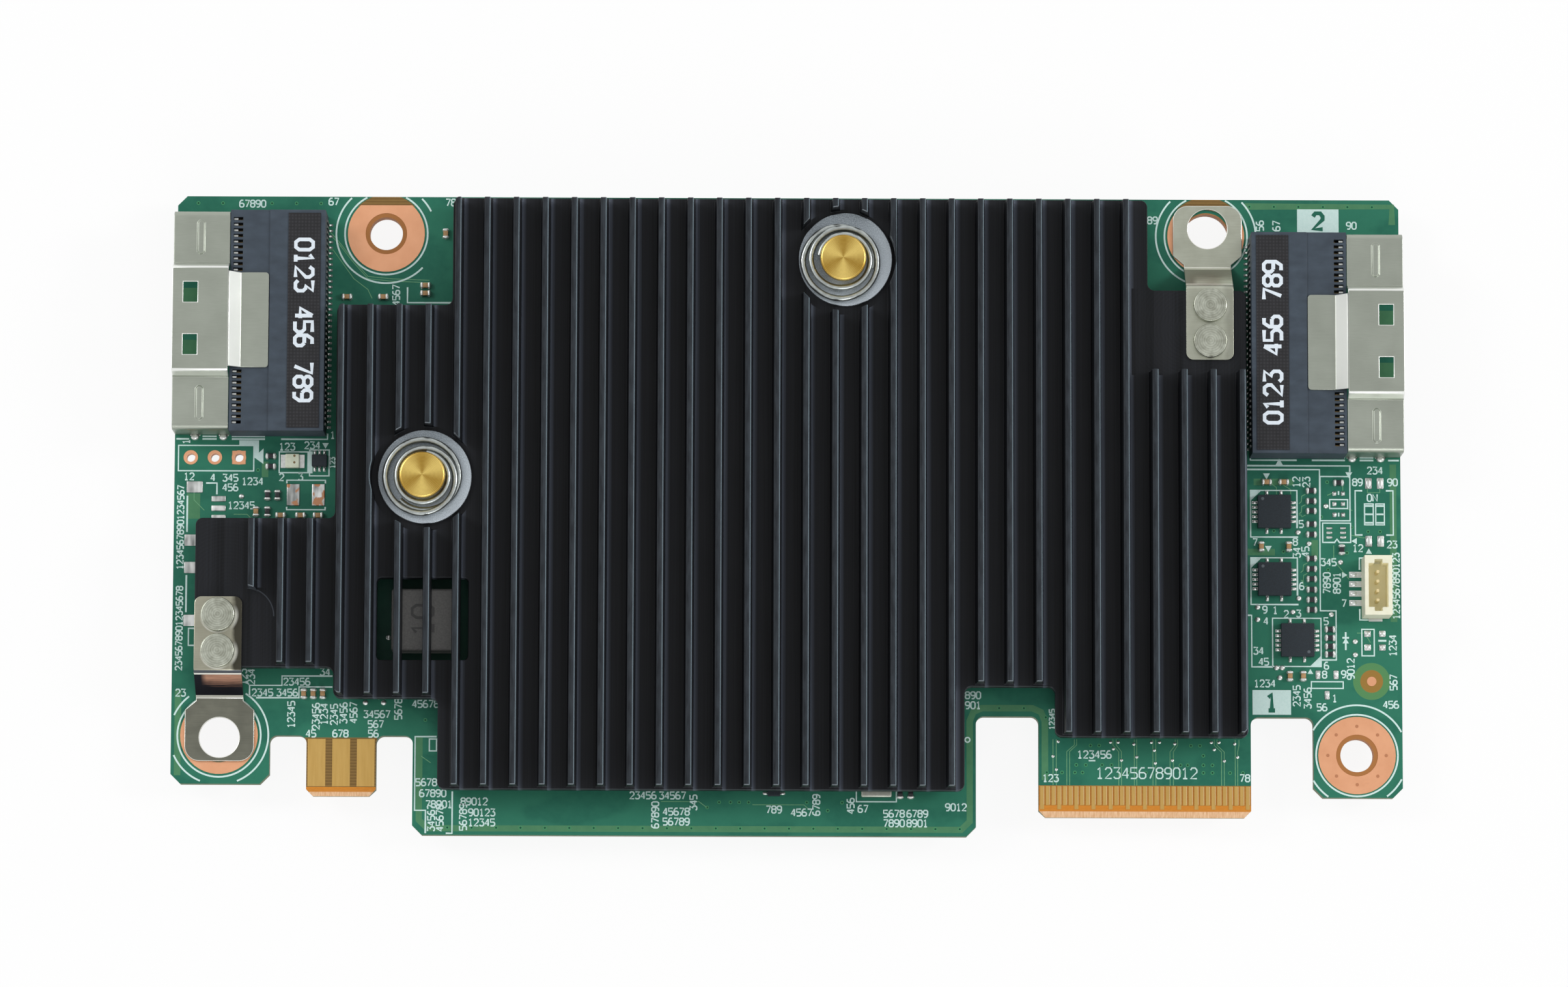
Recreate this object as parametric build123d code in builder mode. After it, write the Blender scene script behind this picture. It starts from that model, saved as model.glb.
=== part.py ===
from build123d import *
import os
from math import floor

os.makedirs("parts", exist_ok=True)

# Host bus adapter, millimetres. The origin is the centre of the lower left mounting hole on the
# underside of the board. +X runs along the card to the right receptacle, +Y away from the card edge.

# Circuit board
BOARD_T = 1.57
BOARD_W = 129.4
HOLE_TO_LEFT = 5.05
HOLE_TO_TOP = 57.3
EAR_W = 10.35
EAR_DROP = 5.1
POWER_NOTCH_W = 3.9
POWER_W = 7.3
POWER_DROP = 6.35
BLOCK_NOTCH_W = 3.85
BLOCK_DROP = 10.4
TONGUE_NOTCH_W = 6.6
TONGUE_NOTCH_TOP = 2.25
CONTACT_PITCH = 0.6
CONTACTS_PER_ROW = 37
TONGUE_MARGIN = 0.35
TONGUE_DROP = 8.35
RIGHT_EAR_W = 9.35
RIGHT_EAR_DROP = 6.2
BOARD_CHAMFER = 1.0
TONGUE_CHAMFER = 0.7
NOTCH_R = 0.85
EDGE_BEVEL = 0.5
EDGE_BEVEL_LENGTH = 0.75

# Mounting holes and copper
LUG_HOLE_R = 2.4
PLAIN_HOLE_R = 1.75
HOLE_INSET_TOP = 3.95
TOP_LEFT_HOLE_X = 17.05
TOP_RIGHT_HOLE_INSET = 20.45
LOWER_RIGHT_HOLE_INSET = 4.8
LOWER_RIGHT_HOLE_DROP = 1.75
COPPER_T = 0.04
MASK_RING = 0.45
RING_PAD_R = 4.08
RING_PAD_FLAT = 3.05

# Edge contacts
POWER_FINGER_W = 1.87
POWER_FINGER_PITCH = 2.58
POWER_FINGER_TOP = 0.35
POWER_FINGER_END = 5.35
FINGER_W = 0.42
FINGER_TOP = 5.05
GROUND_FINGER_END = 7.5
SIGNAL_FINGER_END = 7.07

# Heatsink
SINK_GAP = 2.0
BASE_T = 1.7
FIN_H = 2.8
FIN_PITCH = 3.05
FIN_TOP_W = 0.63
FIN_FOOT_W = 0.96
FIN_END_INSET = 0.3
FIRST_FIN_INSET = 6.05
SINK_LEFT = -2.45
SINK_TO_RIGHT_EDGE = 16.45
SINK_TO_TOP_EDGE = 0.7
WING_TOP = 22.55
WING_BOTTOM = 6.85
STEP_LEFT = 12.15
STEP_TOP = 45.2
STEP_BOTTOM = 3.65
MAIN_LEFT = 24.3
MAIN_FOOT_INSET = 2.75
MAIN_RIGHT_INSET = 1.3
MAIN_BOTTOM = -5.87
RELIEF_TOP = 5.05
RIGHT_BLOCK_INSET = 1.6
RIGHT_BLOCK_BOTTOM = -0.2
CORNER_NOTCH_W = 10.4
CORNER_NOTCH_H = 9.6
SINK_CORNER_R = 0.75
WINDOW = (16.6, 7.65, 9.6, 8.65)
WINDOW_R = 0.5
LEDGE_TOP = 15.2
LEDGE_W = 8.2
LEDGE_CUTTER_R = 3.0
UPPER_LEDGE_W = 12.0
UPPER_LEDGE_BOTTOM = 38.3
UPPER_CUTTER_R = 1.8

# Push pins
LEFT_PIN = (21.4, 26.8)
RIGHT_PIN = (65.4, 49.9)
PIN_POCKET_R = 5.5
WASHER_R = 4.95
WASHER_T = 0.5
LEFT_WASHER_SLIP = (0.15, 0.1)
RIGHT_WASHER_SLIP = (0.25, 0.2)
PIN_HEAD_R = 2.43
PIN_HEAD_T = 1.0
PIN_SHANK_R = 1.45
PIN_CLEARANCE = 0.15
WASHER_CLEARANCE = 0.4
SPRING_H = 1.9
SPRING_WIRE_R = 0.28
SPRING_FOOT_R = 3.8
SPRING_TOP_R = 2.7
SPRING_TURNS = 2.75
SPRING_STEPS = 18
SPRING_SEAT = 0.02
BARB_R = 1.95
BARB_LENGTH = 2.4
BARB_TIP_R = 1.0
BARB_SLOT = 0.55
BARB_PLAY = 0.15

# Grounding lugs
LUG_T = 0.3
LUG_PLATE_W = 7.3
LUG_PLATE_END = 2.5
LUG_PLATE_CORNER_R = 1.6
LUG_BORE_R = 2.1
LUG_STRIP_W = 5.0
LUG_SHOULDER = 2.9
LUG_NECK = 3.85
LUG_FIRST_BEND = 4.2
LUG_RUN = 2.6
LUG_EDGE_GAP = 0.3
LUG_STRIP_LENGTH = 7.7
LUG_STRIP_CORNER_R = 0.75
LUG_BEND_R = 0.35
LUG_TO_RIVET = 8.75
RIVET_PITCH = 3.81
RIVET_HEAD_R = 1.78
RIVET_HEAD_H = 0.9
RIVET_SHANK_R = 1.1
RIVET_FIT = 0.02
LOWER_LUG_SHIFT = 0.05
UPPER_LUG_SHIFT = 0.15

# Cable receptacles: depth from the board edge, width along it
LEFT_RECEPTACLE_Y = 43.4
RIGHT_RECEPTACLE_Y = 41.4
SHELL_DEPTH = 5.9
SHELL_W = 23.2
SHELL_T = 0.25
WING_H = 4.5
CROWN_H = 5.9
CROWN_W = 10.9
CROWN_SLOPE = 0.5
SHELL_SIDE_R = 0.5
HOUSING_DEPTH = 10.0
HOUSING_H = 4.6
HOUSING_STEP_H = 0.15
HOUSING_STEP_DEPTH = 4.15
SHELL_PLAY = 0.05
TAB_W = 10.1
TAB_LENGTH = 4.15
TAB_RAMP = 1.2
TAB_CORNER_R = 0.35
LATCH_WINDOW = (1.15, 1.5)
LATCH_WINDOW_W = 2.15
LATCH_WINDOW_V = 2.78
BEAD_DEPTH = 2.87
BEAD_W = 0.85
BEAD_LENGTH = 3.7
BEAD_V = 8.8
BEAD_H = 0.2
SHELL_LEG_DEPTHS = (2.1, 5.1)
SHELL_LEG_W = 0.9
SHELL_TAIL = 0.9
LEG_PLAY = 0.12
SLOT_FLOOR = 1.65
SLOT_H = 1.3
SLOT_DEPTH = 4.6
SLOT_SIDE_WALL = 0.7
CONTACT_WINDOW_GAP = 0.3
CONTACT_WINDOW_L = 1.0
CONTACT_WINDOW_W = 0.34
WINDOWS_PER_SIDE = 10
CONTACT_W = 0.24
CONTACT_T = 0.14
CONTACT_START = 0.65
CONTACT_FOOT = 0.5
LABEL_DEPTH = 12.05
LABEL_L = 3.4
LABEL_W = 22.8
LABEL_T = 0.08

# Debug header, chips and small parts
HEADER_INSET = 2.75
HEADER_DROP = 13.95
HEADER_L = 6.3
HEADER_D = 2.9
HEADER_H = 4.0
HEADER_WALL = 0.42
HEADER_FLOOR = 0.9
HEADER_PITCH = 1.0
HEADER_WAYS = 4
HEADER_PIN_W = 0.3
HEADER_PIN_H = 3.2
HEADER_LEAD = 1.2
DRIVER_W = 3.5
DRIVER_H = 0.85
DRIVER_PIN_PITCH = 0.5
DRIVER_PIN_L = 0.55
DRIVER_PIN_W = 0.28
CHIP_L = 1.0
CHIP_W = 0.5
CHIP_H = 0.35
TERMINAL_L = 0.24
TERMINAL_SKIN = 0.03
LAND_T = 0.08
ROW_PITCH = 2.54
ROW_BORE_R = 0.47
ROW_DROP = 2.4
ROW_X = -3.35
CONTROLLER_W = 31.0
CONTROLLER = (43.4, 38.35)
SUBSTRATE_H = 1.0
LID_W = 27.0
LID_H = 0.8
INDUCTOR_W = 6.6
INDUCTOR_H = 2.7
COIL_W = 5.2
COIL_H = 1.8
REAR_PART_H = 0.5

# Small parts. In the right field a spot is inset from the right edge, drop below the receptacle, turn.
# In the left field it is reach from the left edge, drop below the receptacle, turn. Along the lower
# edge it is inset from the right end of the middle stretch, height, turn.
DRIVER_SPOTS = [(13.38, 5.83, 0), (13.38, 12.98, 0), (11.0, 19.43, 0)]
RIGHT_RESISTORS = [
    (9.45, 3.55, 0), (9.45, 4.65, 0), (9.45, 5.7, 0), (9.45, 7.1, 0), (9.45, 8.2, 0), (9.45, 10.75, 0),
    (9.45, 11.85, 0), (9.45, 12.92, 0), (9.45, 14.04, 0), (9.45, 15.12, 0), (9.45, 16.18, 0),
    (7.55, 18.24, 0), (7.55, 19.15, 0), (7.55, 20.04, 0), (7.55, 20.88, 0), (6.55, 2.7, 0), (6.25, 9.8, 90),
]
LEFT_RESISTORS = [(10.15, 2.25, 0), (10.15, 3.35, 0), (9.85, 6.4, 90), (10.9, 6.4, 90), (9.85, 8.15, 90)]
LOWER_RESISTORS = [(7.95, -5.9, 90), (6.85, -5.9, 90)]
RIGHT_CAPACITORS = [
    (14.15, 2.65, 0), (12.35, 2.65, 0), (14.75, 9.5, 90), (11.85, 9.5, 90), (11.8, 23.2, 90),
    (10.4, 23.2, 90),
]
LEFT_CAPACITORS = [(8.65, 8.15, 90), (11.25, 8.55, 0), (13.35, 8.55, 0), (15.2, 8.55, 0)]
LOWER_CAPACITORS = [(8.85, 4.4, 90), (9.85, 4.4, 90), (10.85, 4.4, 90)]
HOLE_CAPACITORS = [(-4.1, -6.8, 0), (-0.25, -6.8, 0), (4.2, -5.55, 0), (4.2, -6.4, 0), (6.3, 0, 90)]
RIGHT_LANDS = [
    ((0.7, 1.15), [(3.4, 2.75), (2.15, 2.75), (3.4, 8.9), (2.15, 8.9)]),
    ((0.68, 0.65), [(3.6, 18.7), (2.05, 18.7), (3.6, 20.15), (2.05, 20.15)]),
    ((0.42, 0.45), [(7.0, 3.85), (6.1, 3.85), (7.0, 4.95), (6.1, 4.95), (7.0, 6.1), (6.1, 6.1)]),
    ((0.62, 0.22), [(7.55, 7.52), (7.55, 8.0), (7.55, 8.5), (6.1, 7.52), (6.1, 8.0), (6.1, 8.5)]),
    ((0.5, 0.9), [(8.85, 23.05), (6.95, 23.05), (7.9, 25.2)]),
]
LEFT_LANDS = [
    ((1.35, 2.3), [(12.55, 6.35), (15.2, 6.35)]),
    ((1.7, 1.2), [(2.15, 5.55), (2.0, 11.2), (2.0, 14.1), (2.0, 19.7)]),
    ((1.5, 0.58), [(4.7, 6.8), (4.7, 7.8), (4.7, 8.8)]),
]
LED_SPOT = (12.45, 2.8, 0)
LED_SIZE = (1.5, 1.5, 0.65)
LED_PAD = (0.5, 1.4)
LED_DRIVER_SPOT = (15.3, 2.75, 90)
LED_DRIVER_SIZE = (1.25, 1.6, 0.6)
LED_DRIVER_PITCH = 0.5
SUPERVISOR_SPOT = (21.2, -5.3, 0)
SUPERVISOR_SIZE = (1.3, 1.9, 0.9)
SUPERVISOR_PITCH = 0.65
SMALL_PIN_L = 0.5
SMALL_PIN_W = 0.25
CRYSTAL_SPOT = (10.45, -5.08, 0)
CRYSTAL_SIZE = (3.2, 2.5, 0.75)
HEAT_PAD_INSET = 1.0
SUPPLY_X = (34, 47, 60)
COIL_Y = 12.0
REGULATOR_Y = 4.0
REGULATOR_SIZE = (5.0, 4.0, 0.85)
MEMORY_SPOT = (70.0, 14.0, 0)
MEMORY_SIZE = (8.0, 6.0, 0.8)
REAR_COLUMNS = 6
REAR_ROWS = 4
REAR_PITCH = 4.2

# Positions that follow from the sizes above
EDGE_LEFT = -HOLE_TO_LEFT
EDGE_RIGHT = EDGE_LEFT + BOARD_W
EDGE_TOP = HOLE_TO_TOP
POWER_LEFT = EDGE_LEFT + EAR_W + POWER_NOTCH_W
POWER_RIGHT = POWER_LEFT + POWER_W
BLOCK_LEFT = POWER_RIGHT + BLOCK_NOTCH_W
CONTACT_SPAN = (CONTACTS_PER_ROW - 1) * CONTACT_PITCH
RIGHT_EAR_LEFT = EDGE_RIGHT - RIGHT_EAR_W
TONGUE_RIGHT = RIGHT_EAR_LEFT - TONGUE_NOTCH_W
TONGUE_LEFT = TONGUE_RIGHT - CONTACT_SPAN - 2 * TONGUE_MARGIN
BLOCK_RIGHT = TONGUE_LEFT - TONGUE_NOTCH_W
PAD_TOP = BOARD_T + COPPER_T
BASE_Z = BOARD_T + SINK_GAP
BASE_TOP = BASE_Z + BASE_T
SINK_RIGHT = EDGE_RIGHT - SINK_TO_RIGHT_EDGE
SINK_TOP = EDGE_TOP - SINK_TO_TOP_EDGE
RIGHT_BLOCK_LEFT = TONGUE_LEFT + RIGHT_BLOCK_INSET
MAIN_FOOT_LEFT = BLOCK_LEFT + MAIN_FOOT_INSET
MAIN_RIGHT = BLOCK_RIGHT - MAIN_RIGHT_INSET
CORNER_NOTCH_LEFT = SINK_RIGHT - CORNER_NOTCH_W
CORNER_NOTCH_BOTTOM = SINK_TOP - CORNER_NOTCH_H
FIRST_FIN = SINK_LEFT + FIRST_FIN_INSET
FIN_COUNT = floor((SINK_RIGHT - FIN_FOOT_W / 2 - FIRST_FIN) / FIN_PITCH) + 1
LOWER_LEFT_HOLE = (0, 0)
TOP_LEFT_HOLE = (TOP_LEFT_HOLE_X, EDGE_TOP - HOLE_INSET_TOP)
TOP_RIGHT_HOLE = (EDGE_RIGHT - TOP_RIGHT_HOLE_INSET, EDGE_TOP - HOLE_INSET_TOP)
LOWER_RIGHT_HOLE = (EDGE_RIGHT - LOWER_RIGHT_HOLE_INSET, -LOWER_RIGHT_HOLE_DROP)
LUG_HOLES = [LOWER_LEFT_HOLE, TOP_RIGHT_HOLE]
PLAIN_HOLES = [TOP_LEFT_HOLE, LOWER_RIGHT_HOLE]
PIN_HOLE_R = PIN_SHANK_R + PIN_CLEARANCE
WASHER_TOP = BASE_TOP + WASHER_T
HEAD_Z = WASHER_TOP + SPRING_H
LEFT_FIELD_TOP = LEFT_RECEPTACLE_Y - SHELL_W / 2
RIGHT_FIELD_TOP = RIGHT_RECEPTACLE_Y - SHELL_W / 2
ROW_HOLES = [(ROW_X + ROW_PITCH * k, LEFT_FIELD_TOP - ROW_DROP) for k in range(3)]
HEADER_X = EDGE_RIGHT - HEADER_INSET
HEADER_Y = RIGHT_FIELD_TOP - HEADER_DROP
LUG_RISE = BASE_TOP - PAD_TOP


def right_field(spots):
    """Board positions of spots below the right receptacle."""
    return [(EDGE_RIGHT - inset, RIGHT_FIELD_TOP - drop, turn) for inset, drop, turn in spots]


def left_field(spots):
    """Board positions of spots below the left receptacle."""
    return [(EDGE_LEFT + reach, LEFT_FIELD_TOP - drop, turn) for reach, drop, turn in spots]


def lower_edge(spots):
    """Board positions of spots along the middle stretch of the lower edge."""
    return [(BLOCK_RIGHT - inset, y, turn) for inset, y, turn in spots]


def write(part, name):
    """Label a finished sub-part and write its STEP file."""
    part.label = name
    export_step(part, f"parts/{name}.step")


def corners_at(sketch, points):
    """The vertices of a sketch that lie at the given points."""
    return [v for v in sketch.vertices() if any(abs(v.X - x) + abs(v.Y - y) < 0.01 for x, y in points)]


def seat(x, y, toward, z=0.0):
    """A plane at a spot on the card: its x axis runs the way given, its z axis up."""
    return Plane(origin=(x, y, z), x_dir=toward, z_dir=(0, 0, 1))


def on_board(place, spot):
    """The board position of a spot that is given in a seat's own axes."""
    point = place.from_local_coords((spot[0], spot[1], 0))
    return point.X, point.Y


def side_of(plane):
    """The upright plane through a seat, for side profiles: x as the seat, y up."""
    return Plane(origin=plane.origin, x_dir=plane.x_dir, z_dir=plane.x_dir.cross(Vector(0, 0, 1)))


LEFT_SEAT = seat(EDGE_LEFT, LEFT_RECEPTACLE_Y, (1, 0, 0), BOARD_T)
RIGHT_SEAT = seat(EDGE_RIGHT, RIGHT_RECEPTACLE_Y, (-1, 0, 0), BOARD_T)
RECEPTACLES = {"left": LEFT_SEAT, "right": RIGHT_SEAT}
LEG_SPOTS = [(depth, side * (SHELL_W - SHELL_T) / 2) for depth in SHELL_LEG_DEPTHS for side in (1, -1)]

# Circuit board: one routed sheet with two edge tongues, bevelled where they enter their sockets
board_chamfers = [
    (EDGE_LEFT, -EAR_DROP), (EDGE_LEFT + EAR_W, -EAR_DROP),
    (BLOCK_LEFT, -BLOCK_DROP), (BLOCK_RIGHT, -BLOCK_DROP),
    (RIGHT_EAR_LEFT, -RIGHT_EAR_DROP), (EDGE_RIGHT, -RIGHT_EAR_DROP),
    (EDGE_RIGHT, EDGE_TOP), (EDGE_LEFT, EDGE_TOP),
]
tongue_chamfers = [
    (POWER_LEFT, -POWER_DROP), (POWER_RIGHT, -POWER_DROP),
    (TONGUE_LEFT, -TONGUE_DROP), (TONGUE_RIGHT, -TONGUE_DROP),
]
notch_corners = [
    (EDGE_LEFT + EAR_W, 0), (POWER_LEFT, 0), (POWER_RIGHT, 0), (BLOCK_LEFT, 0),
    (BLOCK_RIGHT, TONGUE_NOTCH_TOP), (TONGUE_LEFT, TONGUE_NOTCH_TOP),
    (TONGUE_RIGHT, TONGUE_NOTCH_TOP), (RIGHT_EAR_LEFT, TONGUE_NOTCH_TOP),
]
board_outline = [
    board_chamfers[0], board_chamfers[1], notch_corners[0], notch_corners[1],
    tongue_chamfers[0], tongue_chamfers[1], notch_corners[2], notch_corners[3],
    board_chamfers[2], board_chamfers[3], notch_corners[4], notch_corners[5],
    tongue_chamfers[2], tongue_chamfers[3], notch_corners[6], notch_corners[7],
    board_chamfers[4], board_chamfers[5], board_chamfers[6], board_chamfers[7],
]
with BuildPart() as circuit_board:
    with BuildSketch() as plan:
        with BuildLine():
            Polyline(*board_outline, close=True)
        make_face()
        fillet(corners_at(plan, notch_corners), NOTCH_R)
        chamfer(corners_at(plan, tongue_chamfers), TONGUE_CHAMFER)
        chamfer(corners_at(plan, board_chamfers), BOARD_CHAMFER)
        with Locations(*LUG_HOLES):
            Circle(LUG_HOLE_R, mode=Mode.SUBTRACT)
        with Locations(*PLAIN_HOLES):
            Circle(PLAIN_HOLE_R, mode=Mode.SUBTRACT)
        with Locations(LEFT_PIN, RIGHT_PIN):
            Circle(PIN_HOLE_R, mode=Mode.SUBTRACT)
        with Locations(*ROW_HOLES):
            Circle(ROW_BORE_R, mode=Mode.SUBTRACT)
        for place in RECEPTACLES.values():
            with Locations(*[on_board(place, spot) for spot in LEG_SPOTS]):
                Rectangle(SHELL_LEG_W + 2 * LEG_PLAY, SHELL_T + 2 * LEG_PLAY, mode=Mode.SUBTRACT)
    extrude(amount=BOARD_T)
    for tongue_end, left, right in [
        (-POWER_DROP, POWER_LEFT, POWER_RIGHT),
        (-TONGUE_DROP, TONGUE_LEFT, TONGUE_RIGHT),
    ]:
        for face, inward in [(0, 1), (BOARD_T, -1)]:
            with BuildSketch(Plane(origin=(left, tongue_end, face), x_dir=(0, 1, 0), z_dir=(1, 0, 0))):
                with BuildLine():
                    Polyline((0, 0), (EDGE_BEVEL_LENGTH, 0), (0, inward * EDGE_BEVEL), close=True)
                make_face()
            extrude(amount=right - left, mode=Mode.SUBTRACT)
write(circuit_board.part, "circuit_board")


def plate_set(name, height, thickness, draw):
    """A set of thin plates of one outline sketch, at one height."""
    with BuildPart() as plates:
        with BuildSketch(Plane.XY.offset(height)):
            draw()
        extrude(amount=thickness)
    write(plates.part, name)


def draw_ring_pads():
    """Copper rings round the mounting holes, cut flat beside the long edge of the board."""
    for holes, bore in [(LUG_HOLES, LUG_HOLE_R), (PLAIN_HOLES, PLAIN_HOLE_R)]:
        for x, y in holes:
            with Locations((x, y)):
                Circle(RING_PAD_R)
                Circle(bore + MASK_RING, mode=Mode.SUBTRACT)
    flat_top = EDGE_TOP - HOLE_INSET_TOP + RING_PAD_FLAT
    with Locations(((EDGE_LEFT + EDGE_RIGHT) / 2, flat_top)):
        Rectangle(BOARD_W, RING_PAD_R, align=(Align.CENTER, Align.MIN), mode=Mode.SUBTRACT)


def draw_edge_contacts():
    """Gold contacts of the signal tongue: every third one is a longer ground contact."""
    for k in range(CONTACTS_PER_ROW):
        end = GROUND_FINGER_END if k % 3 == 0 else SIGNAL_FINGER_END
        with Locations((TONGUE_LEFT + TONGUE_MARGIN + k * CONTACT_PITCH, -FINGER_TOP)):
            Rectangle(FINGER_W, end - FINGER_TOP, align=(Align.CENTER, Align.MAX))


def draw_power_contacts():
    """Three broad gold contacts of the power tongue."""
    middle = (POWER_LEFT + POWER_RIGHT) / 2
    for k in (-1, 0, 1):
        with Locations((middle + k * POWER_FINGER_PITCH, -POWER_FINGER_TOP)):
            Rectangle(POWER_FINGER_W, POWER_FINGER_END - POWER_FINGER_TOP, align=(Align.CENTER, Align.MAX))


for side, height in [("top", BOARD_T), ("rear", -COPPER_T)]:
    plate_set(f"mounting_pads_{side}", height, COPPER_T, draw_ring_pads)
    plate_set(f"signal_edge_contacts_{side}", height, COPPER_T, draw_edge_contacts)
    plate_set(f"power_edge_contacts_{side}", height, COPPER_T, draw_power_contacts)

# Heatsink: one extrusion, milled to outline, with fins along Y that bridge the window in its base
sink_outline = [
    (SINK_LEFT, WING_BOTTOM), (STEP_LEFT, WING_BOTTOM), (STEP_LEFT, STEP_BOTTOM),
    (MAIN_FOOT_LEFT, STEP_BOTTOM), (MAIN_FOOT_LEFT, MAIN_BOTTOM), (MAIN_RIGHT, MAIN_BOTTOM),
    (MAIN_RIGHT, RELIEF_TOP), (RIGHT_BLOCK_LEFT, RELIEF_TOP), (RIGHT_BLOCK_LEFT, RIGHT_BLOCK_BOTTOM),
    (SINK_RIGHT, RIGHT_BLOCK_BOTTOM), (SINK_RIGHT, CORNER_NOTCH_BOTTOM),
    (CORNER_NOTCH_LEFT, CORNER_NOTCH_BOTTOM), (CORNER_NOTCH_LEFT, SINK_TOP), (MAIN_LEFT, SINK_TOP),
    (MAIN_LEFT, STEP_TOP), (STEP_LEFT, STEP_TOP), (STEP_LEFT, WING_TOP), (SINK_LEFT, WING_TOP),
]
PIN_SPOTS = [LEFT_PIN, RIGHT_PIN]
lug_reach = LUG_EDGE_GAP + LUG_FIRST_BEND + LUG_RUN
upper_lug_x = TOP_RIGHT_HOLE[0] + UPPER_LUG_SHIFT
LUGS = {
    "lower_left": seat(LOWER_LUG_SHIFT, WING_BOTTOM - lug_reach, (0, 1, 0), PAD_TOP),
    "upper_right": seat(upper_lug_x, CORNER_NOTCH_BOTTOM + lug_reach, (0, -1, 0), PAD_TOP),
}
RIVET_SPOTS = [(LUG_TO_RIVET, 0), (LUG_TO_RIVET + RIVET_PITCH, 0)]


def draw_sink_plan(inset):
    """The milled outline of the heatsink, set in from its edge."""
    with BuildSketch(mode=Mode.PRIVATE) as outline:
        with BuildLine():
            Polyline(*sink_outline, close=True)
        make_face()
        fillet(corners_at(outline, sink_outline), SINK_CORNER_R)
        if inset:
            offset(amount=-inset, kind=Kind.INTERSECTION)
    add(outline.sketch)


with BuildPart() as heatsink:
    with BuildSketch(Plane.XY.offset(BASE_Z)):
        draw_sink_plan(0)
        with Locations((WINDOW[0], WINDOW[1])):
            RectangleRounded(WINDOW[2], WINDOW[3], WINDOW_R, align=(Align.MIN, Align.MIN), mode=Mode.SUBTRACT)
    extrude(amount=BASE_T)
    with BuildPart(mode=Mode.PRIVATE) as fins:
        with BuildSketch(Plane(origin=(FIRST_FIN, 0, BASE_TOP), x_dir=(1, 0, 0), z_dir=(0, -1, 0))) as comb:
            for k in range(FIN_COUNT):
                x = k * FIN_PITCH
                with BuildLine():
                    Polyline(
                        (x - FIN_FOOT_W / 2, 0), (x + FIN_FOOT_W / 2, 0),
                        (x + FIN_TOP_W / 2, FIN_H), (x - FIN_TOP_W / 2, FIN_H), close=True,
                    )
                make_face()
        extrude(amount=-SINK_TOP)
        extrude(comb.sketch, amount=-MAIN_BOTTOM)
        with BuildSketch(Plane.XY.offset(BASE_TOP)):
            draw_sink_plan(FIN_END_INSET)
        extrude(amount=FIN_H, mode=Mode.INTERSECT)
        with BuildSketch(Plane.XY.offset(BASE_TOP)) as milled:
            with Locations((SINK_LEFT, WING_BOTTOM)):
                Rectangle(LEDGE_W, LEDGE_TOP - WING_BOTTOM, align=(Align.MIN, Align.MIN))
            fillet(corners_at(milled, [(SINK_LEFT + LEDGE_W, LEDGE_TOP)]), LEDGE_CUTTER_R)
            with Locations(*PIN_SPOTS):
                Circle(PIN_POCKET_R)
        extrude(amount=FIN_H, mode=Mode.SUBTRACT)
        with BuildSketch(Plane.XY.offset(BASE_TOP)) as upper_ledge:
            with Locations((SINK_RIGHT, UPPER_LEDGE_BOTTOM)):
                Rectangle(UPPER_LEDGE_W, SINK_TOP - UPPER_LEDGE_BOTTOM, align=(Align.MAX, Align.MIN))
            inner_corner = (SINK_RIGHT - UPPER_LEDGE_W, UPPER_LEDGE_BOTTOM)
            fillet(corners_at(upper_ledge, [inner_corner]), UPPER_CUTTER_R)
        extrude(amount=FIN_H, mode=Mode.SUBTRACT)
    add(fins.part)
    with BuildSketch(Plane.XY.offset(BASE_Z)):
        with Locations(*PIN_SPOTS):
            Circle(PIN_HOLE_R)
        with Locations(*[on_board(place, spot) for place in LUGS.values() for spot in RIVET_SPOTS]):
            Circle(RIVET_SHANK_R + RIVET_FIT)
    extrude(amount=BASE_T, mode=Mode.SUBTRACT)
write(heatsink.part, "heatsink")

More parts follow.
